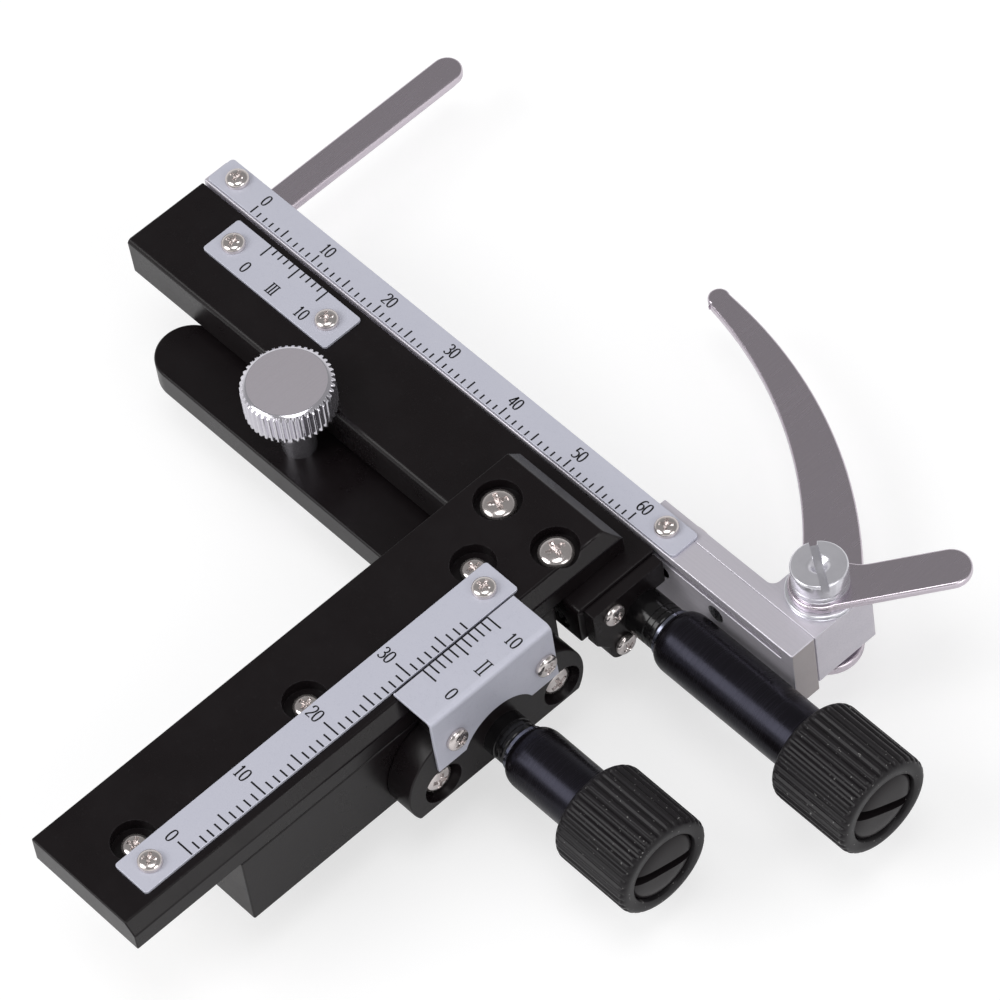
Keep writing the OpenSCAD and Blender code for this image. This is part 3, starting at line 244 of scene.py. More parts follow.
def mesh_from(name: str, shells: Sequence[Shell], sharp_deg: float) -> bpy.types.Mesh:
    """Joins shells into one welded mesh in metres, with outward faces and smooth shading.

    Args:
        name: Name of the mesh.
        shells: The shells that make the piece.
        sharp_deg: Edges sharper than this angle stay crisp.

    Returns:
        The mesh.
    """
    same_place, sliver = 1e-7, 1e-8
    bm = bmesh.new()
    for shell in shells:
        part = bmesh.new()
        data = bpy.data.meshes.new("part")
        data.from_pydata((shell.points * MM).tolist(), [],
                         [face for block in shell.faces for face in block.tolist()])
        part.from_mesh(data)
        bmesh.ops.remove_doubles(part, verts=part.verts, dist=same_place)
        bmesh.ops.dissolve_degenerate(part, edges=part.edges, dist=sliver)
        bmesh.ops.recalc_face_normals(part, faces=part.faces)
        part.to_mesh(data)
        part.free()
        bm.from_mesh(data)
        bpy.data.meshes.remove(data)
    mesh = bpy.data.meshes.new(name)
    bm.to_mesh(mesh)
    bm.free()
    mesh.polygons.foreach_set("use_smooth", np.ones(len(mesh.polygons), bool))
    mesh.set_sharp_from_angle(angle=math.radians(sharp_deg))
    return mesh


def linked(name: str, data: bpy.types.ID) -> bpy.types.Object:
    """Makes an object of some data and puts it in the scene."""
    obj = bpy.data.objects.new(name, data)
    bpy.context.scene.collection.objects.link(obj)
    return obj


# ------------------------------------------------------------------ shader groups

class Wiring:
    """Small helper that adds and joins nodes in one node tree."""

    def __init__(self, tree: bpy.types.NodeTree) -> None:
        """Keeps the tree."""
        self.tree = tree

    @classmethod
    def fresh(cls, owner: bpy.types.Material | bpy.types.World) -> "Wiring":
        """Turns on the nodes of a material or world, and clears them."""
        owner.use_nodes = True
        owner.node_tree.nodes.clear()
        return cls(owner.node_tree)

    def add(self, kind: str, **settings: object) -> Node:
        """Adds a node of a kind and sets its properties."""
        node = self.tree.nodes.new(kind)
        for key, value in settings.items():
            setattr(node, key, value)
        return node

    def group(self, tree: bpy.types.NodeTree, **values: float) -> Node:
        """Places a shared group with its own values."""
        node = self.add("ShaderNodeGroup", node_tree=tree)
        for key, value in values.items():
            node.inputs[key].default_value = value
        return node

    def join(self, source: Socket, target: Socket) -> None:
        """Links one output to one input."""
        self.tree.links.new(source, target)

    def feed(self, target: Socket, value: object) -> None:
        """Links a socket, or sets a constant, on one input."""
        if isinstance(value, Socket):
            self.join(value, target)
        else:
            target.default_value = value

    def math(self, operation: str, a: object, b: object, clamp: bool = False) -> Socket:
        """One Math node and its result."""
        node = self.add("ShaderNodeMath", operation=operation, use_clamp=clamp)
        self.feed(node.inputs[0], a)
        self.feed(node.inputs[1], b)
        return node.outputs[0]

    def times(self, a: object, b: object) -> Socket:
        """Product of two values."""
        return self.math("MULTIPLY", a, b)

    def weigh(self, a: object, b: object, share: float) -> Socket:
        """Sum of two values: a times its share, and b times the rest."""
        return self.math("ADD", self.times(a, share), self.times(b, 1.0 - share))

    def vector(self, operation: str, a: object, b: object) -> Node:
        """One Vector Math node."""
        node = self.add("ShaderNodeVectorMath", operation=operation)
        self.feed(node.inputs[0], a)
        self.feed(node.inputs[1], b)
        return node

    def remap(self, value: object, low: object, high: object, to_low: object = 0.0,
              to_high: object = 1.0) -> Socket:
        """Smooth Map Range from low..high to to_low..to_high."""
        node = self.add("ShaderNodeMapRange", interpolation_type="SMOOTHSTEP")
        for i, v in enumerate((value, low, high, to_low, to_high)):
            self.feed(node.inputs[i], v)
        return node.outputs[0]

    def noise(self, vector: object, scale: object, detail: float, rough: float = 0.5) -> Socket:
        """Noise texture value."""
        node = self.add("ShaderNodeTexNoise")
        for key, value in (("Vector", vector), ("Scale", scale), ("Detail", detail),
                           ("Roughness", rough)):
            self.feed(node.inputs[key], value)
        return node.outputs["Fac"]

    def mix(self, fac: object, a: object, b: object) -> Socket:
        """Colour mix of a and b."""
        node = self.add("ShaderNodeMix", data_type="RGBA")
        for i, v in ((0, fac), (6, a), (7, b)):
            self.feed(node.inputs[i], (*v, 1.0) if isinstance(v, tuple) else v)
        return node.outputs[2]


class Group(Wiring):
    """A node group with float inputs and outputs, whose patterns lie on the object's own axes."""

    def __init__(self, name: str, inputs: dict[str, float], outputs: Sequence[str]) -> None:
        """Starts the group.

        Args:
            name: Name of the group.
            inputs: Input names with their default values.
            outputs: Output names.
        """
        super().__init__(bpy.data.node_groups.new(name, "ShaderNodeTree"))
        sockets = self.tree.interface
        for key, value in inputs.items():
            socket = sockets.new_socket(key, in_out="INPUT", socket_type="NodeSocketFloat")
            socket.default_value = value
        for key in outputs:
            sockets.new_socket(key, in_out="OUTPUT", socket_type="NodeSocketFloat")
        self.entry = self.add("NodeGroupInput")
        self.exit = self.add("NodeGroupOutput")
        self.place = self.add("ShaderNodeTexCoord").outputs["Object"]

    def given(self, key: str) -> Socket:
        """The value that the user of the group feeds in."""
        return self.entry.outputs[key]

    def give(self, **results: Socket) -> bpy.types.NodeTree:
        """Joins the results to the group's outputs, and returns its tree."""
        for key, result in results.items():
            self.join(result, self.exit.inputs[key])
        return self.tree


class Effects:
    """Shader node groups that several finishes share. Each is built once."""

    def __init__(self) -> None:
        """Builds the groups, and starts the list of materials made with them."""
        self.finished: dict[str, bpy.types.Material] = {}
        self.grain = self._grain()
        self.drawn = self._drawn()
        self.edges = self._edges()
        self.handling = self._handling()

    @staticmethod
    def _grain() -> bpy.types.NodeTree:
        """Even blasted or painted texture: two sizes of noise and sparse bright pips."""
        g = Group("Fine grain", {"Scale": 4000.0, "Pips": 0.6}, ("Height", "Mask"))
        scale, pips = g.given("Scale"), g.given("Pips")
        coarser, fine_share, pip_slope = 0.23, 0.7, 0.12
        fine = g.noise(g.place, scale, 3.0, 0.65)
        coarse = g.noise(g.place, g.times(scale, coarser), 2.0)
        height = g.weigh(fine, coarse, fine_share)
        return g.give(Height=height, Mask=g.remap(height, pips, g.math("ADD", pips, pip_slope)))

    @staticmethod
    def _drawn() -> bpy.types.NodeTree:
        """Lines left by a tool: noise squeezed by a factor along each axis."""
        g = Group("Drawn lines", {"Scale": 3000.0, **dict.fromkeys(AXES, 1.0)}, ("Height", "Mask"))
        factor = g.add("ShaderNodeCombineXYZ")
        for i, key in enumerate(AXES):
            g.join(g.given(key), factor.inputs[i])
        squeezed = g.vector("MULTIPLY", g.place, factor.outputs[0]).outputs[0]
        scale = g.given("Scale")
        wider, line_share, trough, crest = 0.12, 0.75, 0.4, 0.62
        lines = g.noise(squeezed, scale, 3.0, 0.7)
        wide = g.noise(squeezed, g.times(scale, wider), 1.0)
        height = g.weigh(lines, wide, line_share)
        return g.give(Height=height, Mask=g.remap(height, trough, crest))

    @staticmethod
    def _edges() -> bpy.types.NodeTree:
        """Worn edges: where the rounded normal leaves the true one, broken up by noise."""
        g = Group("Edge wear", {"Radius": 0.0002, "Broken": 3000.0, "Amount": 1.0}, ("Mask",))
        bevel = g.add("ShaderNodeBevel", samples=6)
        g.join(g.given("Radius"), bevel.inputs["Radius"])
        true = g.add("ShaderNodeNewGeometry").outputs["Normal"]
        same = g.vector("DOT_PRODUCT", bevel.outputs[0], true).outputs["Value"]
        flat, folded, whole, worn = 0.995, 0.9, 0.42, 0.6
        bare = g.remap(same, flat, folded)
        spots = g.remap(g.noise(g.place, g.given("Broken"), 3.0, 0.7), whole, worn)
        return g.give(Mask=g.math("MULTIPLY", g.times(bare, spots), g.given("Amount"), True))

    @staticmethod
    def _handling() -> bpy.types.NodeTree:
        """Uneven sheen from fingers and dust: slow noise, and specks of lint."""
        g = Group("Handling", {"Scale": 180.0, "Specks": 0.72}, ("Sheen", "Dust"))
        scale, finer = g.given("Scale"), 19.0
        lint = g.noise(g.place, g.times(scale, finer), 1.0, 0.4)
        return g.give(Sheen=g.noise(g.place, scale, 4.0, 0.6),
                      Dust=g.math("GREATER_THAN", lint, g.given("Specks")))


# ------------------------------------------------------------------ finishes

@dataclass(frozen=True)
class Grain:
    """Even texture: repeats per metre, depth in metres, and the height where pips begin."""

    scale: float
    depth: float
    pips: float = 0.6


@dataclass(frozen=True)
class Drawn:
    """Tool lines: squeeze along each axis, repeats per metre, and depth in metres."""

    along: tuple[float, float, float]
    scale: float
    depth: float


@dataclass(frozen=True)
class Wear:
    """Worn edges: radius in metres, amount, and the bare edge's colour and roughness."""

    radius: float
    amount: float
    colour: Colour
    rough: float = 0.3


@dataclass(frozen=True)
class Finish:
    """One finish: its shader's constants and how the shared effects vary it.

    The colour and the roughness go from their first to their second value with the tone,
    which is the sheen of handling mixed with the grain or the tool lines.
    """

    name: str
    slot: str
    colour: Colour
    second: Colour
    metallic: float
    rough: Pair
    grain: Grain
    drawn: Drawn | None = None
    wear: Wear | None = None
    specular: float = 0.5
    tint: Colour = (1.0, 1.0, 1.0)
    dust: float = 0.0
    # Darker colour for faces whose normal runs along X: painted shade on the end faces.
    end_colour: Colour | None = None

    def material(self, effects: Effects) -> bpy.types.Material:
        """Builds the material, or finds it if it is already made.

        Args:
            effects: The shared shader groups.

        Returns:
            The material.
        """
        if self.name in effects.finished:
            return effects.finished[self.name]
        made = effects.finished[self.name] = bpy.data.materials.new(self.name)
        made.diffuse_color = (*self.colour, 1.0)
        w = Wiring.fresh(made)
        shader = w.add("ShaderNodeBsdfPrincipled")
        w.join(shader.outputs[0], w.add("ShaderNodeOutputMaterial").inputs["Surface"])

        grain = w.group(effects.grain, Scale=self.grain.scale, Pips=self.grain.pips)
        touch = w.group(effects.handling, Scale=160.0, Specks=0.74)
        height, depth = grain.outputs["Height"], self.grain.depth
        dull, shiny, side_on, end_on = 0.3, 0.7, 0.9, 0.98
        sheen = w.remap(touch.outputs["Sheen"], dull, shiny)
        if self.drawn is None:
            texture, sheen_share = grain.outputs["Mask"], 0.45
        else:
            lines = w.group(effects.drawn, Scale=self.drawn.scale,
                            **dict(zip(AXES, self.drawn.along)))
            share = self.grain.depth / self.drawn.depth
            height = w.math("ADD", lines.outputs["Height"], w.times(height, share))
            depth = self.drawn.depth
            texture, sheen_share = lines.outputs["Mask"], 0.4
        tone = w.weigh(sheen, texture, sheen_share)
        colour = w.mix(tone, self.colour, self.second)
        # Painted shade: faces whose normal runs along X get the darker end colour, so end faces read
        # darker than the sides.
        if self.end_colour is not None:
            across = w.add("ShaderNodeSeparateXYZ")
            w.join(w.add("ShaderNodeNewGeometry").outputs["Normal"], across.inputs[0])
            end_shade_mask = w.remap(w.math("ABSOLUTE", across.outputs["X"], 0.0), side_on, end_on)
            colour = w.mix(end_shade_mask, colour, self.end_colour)
        rough = w.remap(tone, 0.0, 1.0, *self.rough)
        if self.wear is not None:
            edge = w.group(effects.edges, Radius=self.wear.radius, Broken=2600.0,
                           Amount=self.wear.amount).outputs["Mask"]
            colour = w.mix(edge, colour, self.wear.colour)
            rough = w.remap(edge, 0.0, 1.0, rough, self.wear.rough)
        if self.dust > 0.0:
            colour = w.mix(w.times(touch.outputs["Dust"], self.dust), colour, LINT)
        bump = w.add("ShaderNodeBump")
        for key, value in (("Strength", 1.0), ("Distance", depth), ("Height", height)):
            w.feed(bump.inputs[key], value)
        for key, value in (("Metallic", self.metallic), ("Specular IOR Level", self.specular),
                           ("Specular Tint", (*self.tint, 1.0)), ("Base Color", colour),
                           ("Roughness", rough), ("Normal", bump.outputs[0])):
            w.feed(shader.inputs[key], value)
        return made


LINT = (0.45, 0.44, 0.43)
PAINT = Finish(
    "black_enamel", "black_paint", (0.0068, 0.0048, 0.0055), (0.0108, 0.0085, 0.0095), 0.0,
    (0.27, 0.38), Grain(3000.0, 1e-5, 0.56),
    wear=Wear(2.5e-4, 0.35, (0.045, 0.042, 0.046), 0.22), specular=0.24)
SLEEVE = Finish(
    "black_anodised", "black_metal", (0.0042, 0.0034, 0.0040), (0.0066, 0.0056, 0.0068), 0.0,
    (0.22, 0.30), Grain(5200.0, 4e-6), Drawn((1.0, 0.03, 0.03), 5200.0, 1.2e-6),
    Wear(1.5e-4, 0.3, (0.08, 0.08, 0.10)), specular=0.3, tint=(0.72, 0.72, 1.0))
# The knob's rib edges are lightened partly as wear and partly as a painted highlight along the ribs.
KNOB = Finish(
    "black_knob_satin", "black_knob", (0.0080, 0.0066, 0.0080), (0.0150, 0.0132, 0.0152), 0.0,
    (0.36, 0.52), Grain(6200.0, 1e-5),
    wear=Wear(1.2e-4, 0.8, (0.085, 0.081, 0.090), 0.35), specular=0.26, dust=0.35)
CAP = Finish(
    "black_cap", "black_knob", (0.0125, 0.0100, 0.0112), (0.0165, 0.0138, 0.0152), 0.0,
    (0.28, 0.38), Grain(5200.0, 5e-6), specular=0.18)
BUSH = Finish(
    "black_bushing", "black_metal", (0.0050, 0.0045, 0.0050), (0.0090, 0.0085, 0.0092), 0.0,
    (0.14, 0.26), Grain(2600.0, 1e-5),
    wear=Wear(1.2e-4, 0.35, (0.07, 0.068, 0.072)), specular=0.4)
RING = Finish(
    "washer_steel", "bright_steel", (0.25, 0.26, 0.32), (0.17, 0.18, 0.23), 1.0,
    (0.2, 0.34), Grain(4200.0, 2e-6))
BAR = Finish(
    "brushed_aluminium", "bar_aluminium", (0.67, 0.64, 0.70), (0.61, 0.585, 0.645), 0.42,
    (0.28, 0.42), Grain(4200.0, 3e-6), Drawn((0.03, 1.0, 1.0), 4200.0, 3e-6),
    Wear(1.6e-4, 0.22, (0.92, 0.90, 0.94), 0.2))
# Painted shade: the bar's two end faces get a darker colour, picked by the faces' direction, for the
# darker look of its ends.
BAR_SHADED_ENDS = replace(BAR, name="aluminium_painted_end_shade", end_colour=(0.40, 0.365, 0.37))
SCALE = Finish(
    "scale_plate_blasted", "scale_plate", (0.60, 0.605, 0.695), (0.545, 0.55, 0.64), 0.25,
    (0.44, 0.56), Grain(5600.0, 5e-6, 0.52), wear=Wear(1.2e-4, 0.7, (0.78, 0.82, 0.92)))
FINGER = Finish(
    "satin_steel", "finger_steel", (0.72, 0.65, 0.715), (0.64, 0.575, 0.64), 1.0,
    (0.2, 0.3), Grain(3600.0, 2e-6), Drawn((1.0, 0.06, 1.0), 2200.0, 1e-6),
    Wear(2.2e-4, 0.5, (0.84, 0.82, 0.85), 0.16))
CHROME = Finish(
    "chrome", "bright_steel", (0.78, 0.76, 0.82), (0.70, 0.68, 0.74), 0.9,
    (0.12, 0.22), Grain(3000.0, 2e-6), wear=Wear(1e-4, 0.4, (0.90, 0.89, 0.94), 0.12))
FACED = Finish(
    "faced_steel", "bright_steel", (0.56, 0.525, 0.57), (0.49, 0.46, 0.50), 0.55,
    (0.3, 0.44), Grain(3000.0, 2e-6), Drawn((1.0, 0.05, 1.0), 1800.0, 2e-6))
TURNED = Finish(
    "turned_steel", "bright_steel", (0.78, 0.77, 0.82), (0.68, 0.67, 0.72), 0.7,
    (0.16, 0.28), Grain(4200.0, 2e-6), Drawn((0.05, 0.05, 1.0), 5200.0, 5e-6))
TURNED_COLLAR = Finish(
    "turned_aluminium", "bar_aluminium", (0.80, 0.80, 0.85), (0.70, 0.70, 0.75), 0.7,
    (0.16, 0.28), Grain(4200.0, 2e-6), Drawn((0.05, 0.05, 1.0), 5200.0, 4e-6))
SHAFT = Finish(
    "ground_shaft", "bright_steel", (0.62, 0.62, 0.64), (0.54, 0.54, 0.56), 1.0,
    (0.2, 0.34), Grain(4200.0, 2e-6), Drawn((1.0, 0.05, 0.05), 5200.0, 4e-6))
NICKEL = Finish(
    "nickel_plate", "screw_nickel", (0.74, 0.69, 0.68), (0.60, 0.54, 0.52), 0.9,
    (0.14, 0.26), Grain(3600.0, 4e-6), wear=Wear(1e-4, 0.3, (0.88, 0.85, 0.85), 0.12))
BRASS = Finish(
    "cut_brass", "rack_brass", (0.72, 0.55, 0.28), (0.60, 0.45, 0.22), 1.0,
    (0.24, 0.4), Grain(4200.0, 3e-6), Drawn((1.0, 1.0, 0.05), 3600.0, 4e-6))
INK = Finish(
    "scale_print", "black_paint", (0.006, 0.006, 0.008), (0.016, 0.015, 0.018), 0.0,
    (0.4, 0.6), Grain(6200.0, 2e-6), specular=0.3)


# ------------------------------------------------------------------ pieces

@dataclass
class Workshop:
    """Makes finished pieces: meshes, materials, and what the frame has to know of them."""

    frame: dict
    effects: Effects = field(default_factory=Effects)
    made: list[str] = field(default_factory=list)

    def piece(self, name: str, shells: Sequence[Shell], finish: Finish, body: str,
              replaces: Sequence[str] = (), sharp_deg: float = 32.0) -> None:
        """Makes one piece from numpy shells.

        Args:
            name: Name of the piece.
            shells: Its surfaces.
            finish: Its finish.
            body: The body that it rides on.
            replaces: CAD nodes that it stands for.
            sharp_deg: Edges sharper than this stay crisp.
        """
        self._enter(linked(name, mesh_from(name, shells, sharp_deg)), finish, body, replaces)

    def rounded_copy(self, node: str, finish: Finish, body: str, width: float,
                     segments: int = 3, shortest: float = 0.0, split: bool = False) -> None:
        """Stands a merged copy with rounded edges in place of a CAD node.

        Args:
            node: The CAD node.
            finish: Its finish.
            body: The body that it rides on.
            width: Width of the rounding in millimetres.
            segments: Rows of faces in the rounding.
            shortest: Edges shorter than this stay crisp, so that holes keep their size.
            split: True for a face with bores at its rim, which is cut in triangles first.
        """
        same_place, same_plane, fold = 1e-6, math.radians(0.6), math.radians(32.0)
        mesh = self.frame["nodes"][node].data.copy()
        mesh.name = node + "_finished"
        bm = bmesh.new()
        bm.from_mesh(mesh)
        bmesh.ops.remove_doubles(bm, verts=bm.verts, dist=same_place)
        bmesh.ops.dissolve_limit(bm, angle_limit=same_plane, verts=bm.verts, edges=bm.edges)
        if split:
            bmesh.ops.triangulate(bm, faces=[face for face in bm.faces if len(face.verts) > 4])
        bmesh.ops.recalc_face_normals(bm, faces=bm.faces)
        weight = bm.edges.layers.float.new("bevel_weight_edge")
        for edge in bm.edges:
            folded = edge.calc_face_angle(0.0) > fold
            edge[weight] = float(folded and edge.calc_length() >= shortest * MM)
            edge.smooth = not folded
        bm.to_mesh(mesh)
        bm.free()
        mesh.polygons.foreach_set("use_smooth", np.ones(len(mesh.polygons), bool))
        mesh.materials.clear()
        obj = linked(mesh.name, mesh)
        bevel = obj.modifiers.new("rounded edges", "BEVEL")
        bevel.width = width * MM
        bevel.segments = segments
        bevel.limit_method = "WEIGHT"
        bevel.use_clamp_overlap = False
        bevel.harden_normals = True
        self._enter(obj, finish, body, (node,))

    def dress(self, node: str, finish: Finish) -> None:
        """Keeps a CAD node as it is and gives it a finish."""
        obj = self.frame["nodes"][node]
        obj.data.materials.clear()
        obj.data.materials.append(finish.material(self.effects))
        for slot in obj.material_slots:
            slot.material = finish.material(self.effects)
        self.made.append(node)
        LOG.info("node %s keeps its shape, in %s", node, finish.name)

    def _enter(self, obj: bpy.types.Object, finish: Finish, body: str,
               replaces: Sequence[str]) -> None:
        """Gives a new object its finish, its body and the nodes it stands for."""
        obj.data.materials.append(finish.material(self.effects))
        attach(obj, body)
        if replaces:
            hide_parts(*replaces)
        self.made.append(obj.name)
        LOG.info("piece %s on %s, in %s", obj.name, body, finish.name)


# ------------------------------------------------------------------ screws

@dataclass(frozen=True)
class SmallScrew:
    """A cross-recess screw: pan-head with its seat at its own z = 0, or sunk with its top there."""

    head_r: float
    head_h: float
    shank_r: float
    shank_l: float
    sunk: bool = False

    def shell(self) -> Shell:
        """Head top on a grid that turns from a square at the middle to a circle at the rim.

        With s the larger of |u| and |v|, a point is (u, v) shrunk up to the core's edge and
        then blends to (u, v) s / |(u, v)|, so the cross keeps straight walls and the rim is
        round. Height is a dome less the cross's depth. The rim's ring is carried down the
        head's side and the shank.

        Returns:
            The closed shell.
        """
        arm, reach, wall = 0.15, 0.6, 0.02
        core, shrink = 0.62, 0.92
        half = np.array([0.0, 0.07, arm - wall, arm + wall, 0.26, 0.36, 0.47, reach - wall,
                         reach + wall, 0.72, 0.81, 0.89, 0.95, 1.0])
        line = np.concatenate([-half[:0:-1], half])
        u, v = np.meshgrid(line, line, indexing="ij")
        s = np.maximum(np.abs(u), np.abs(v))
        length = np.maximum(np.hypot(u, v), TINY)
        blend = np.clip((s - core) / (1 - core), 0, 1) ** 1.5
        x, y = ((shrink * (1 - blend) + blend * s / length) * side for side in (u, v))
        r = np.minimum(np.hypot(x, y), 1.0)
        if self.sunk:
            dome, cut, end = -0.03 * r ** 8, 0.62, -self.shank_l - self.head_h
            levels = [(self.head_r, -0.22), (self.shank_r, -self.head_h)]
        else:
            rim = 0.42 * self.head_h
            dome = rim + (self.head_h - rim) * (1 - r ** 3.2) ** 0.55
            cut, end = 0.72, -self.shank_l
            levels = [(self.head_r, 0.06), (self.head_r - 0.06, 0.0), (self.shank_r, 0.0)]
        in_arm = ((np.abs(u) < arm) & (np.abs(v) < reach)) | ((np.abs(v) < arm) & (np.abs(u) < reach))
        valley = 1 - 0.45 * np.minimum(np.abs(u), np.abs(v)) / arm
        depth = cut * self.head_h * (1 - 0.6 * s / reach) * valley
        z = dome - np.where(in_arm, np.maximum(depth, 0.1 * self.head_h), 0.0)
        top = np.stack([x * self.head_r, y * self.head_r, z], axis=-1)
        n = len(line)
        side = np.arange(n - 1)
        ring = np.concatenate([side, side * n + n - 1, n * n - 1 - side, (n - 1 - side) * n])
        ring_xy = top.reshape(-1, 3)[ring]
        unit = ring_xy[:, :2] / np.linalg.norm(ring_xy[:, :2], axis=1, keepdims=True)
        levels += [(self.shank_r, end + 0.15), (self.shank_r - 0.15, end), (1e-4, end)]
        rows = [ring_xy] + [np.column_stack([unit * r_, np.full(len(ring), z_)])
                            for r_, z_ in levels]
        skirt = np.concatenate(rows)
        return Shell(np.concatenate([top.reshape(-1, 3), skirt]),
                     [grid_faces(n, n), grid_faces(len(rows), len(ring), False, True) + n * n])


@dataclass
class ScrewSet:
    """All the small screws: one entry for each CAD node, with the places of its screws."""

    shop: Workshop

    def build(self) -> None:
        """Builds every screw node's piece."""
        small = SmallScrew(1.35, 0.85, 0.75, 1.9)
        short = SmallScrew(1.35, 0.85, 0.75, 1.6)
        flange = SmallScrew(1.8, 1.1, 1.0, 4.5)
        sets: list[tuple[str, str, SmallScrew, Facing, list[tuple[tuple, float]]]] = [
            ("y_flange_screws", "base", flange, Facing.ALONG_X,
             [((41.45, -18.4, 2.9), -20), ((41.45, -1.6, 2.9), 14)]),
            ("y_vernier_screws", "base", short, Facing.ALONG_X,
             [((43.35, -16.15, 9.3), 28), ((43.35, -3.6, 9.3), 60)]),
            ("slider_screws", "y_carriage", SmallScrew(1.5, 0.95, 1.0, 4.3), Facing.UP,
             [((31.35, -49.0, 12.5), 30), ((31.35, -25.5, 12.5), 12), ((31.35, -2.0, 12.5), -8)]),
            ("y_scale_screws", "y_carriage", small, Facing.UP,
             [((34.8, -49.7, 14.4), 40), ((34.8, -3.55, 14.4), 15)]),
            ("plate_screws", "y_carriage", SmallScrew(2.0, 1.2, 1.2, 5.4), Facing.UP,
             [((27.2, 5.3, 12.6), 66), ((36.05, 5.3, 12.6), 78)]),
            ("x_vernier_screws", "y_carriage", short, Facing.UP,
             [((-20.85, 10.1, 10.8), 25), ((-5.6, 10.1, 10.8), 50)]),
            ("x_scale_screws", "x_slide", small, Facing.UP,
             [((-27.15, 16.25, 10.9), 20), ((41.0, 16.25, 10.9), 38)]),
            ("end_plate_screws", "y_carriage", SmallScrew(1.3, 0.8, 0.75, 3.0), Facing.ALONG_X,
             [((43.2, 6.1, 8.1), 48), ((43.2, 7.0, 1.9), 20)]),
            ("arm_screws", "base", SmallScrew(1.8, 1.0, 1.0, 3.9, True), Facing.DOWN,
             [((25.6, -1.2, 0.1), 20), ((32.675, -1.2, 0.1), 55)]),
            ("tail_bearing_screw", "y_carriage", SmallScrew(1.1, 0.7, 0.75, 4.8), Facing.DOWN,
             [((-28.05, 6.9, 2.4), 10)]),
            ("fixed_finger_screw", "x_slide", SmallScrew(1.2, 0.6, 0.7, 2.6, True), Facing.DOWN,
             [((-28.05, 15.65, 0.6), 33)]),
            ("bracket_screw", "x_slide", SmallScrew(2.0, 1.2, 1.0, 4.9), Facing.ALONG_Y,
             [((42.4, 18.9, 6.8), 15)]),
        ]
        for node, body, screw, facing, places in sets:
            shells = [screw.shell().placed(at, facing, spin) for at, spin in places]
            self.shop.piece(node + "_turned", shells, NICKEL, body, (node,), sharp_deg=38.0)


# ------------------------------------------------------------------ drives

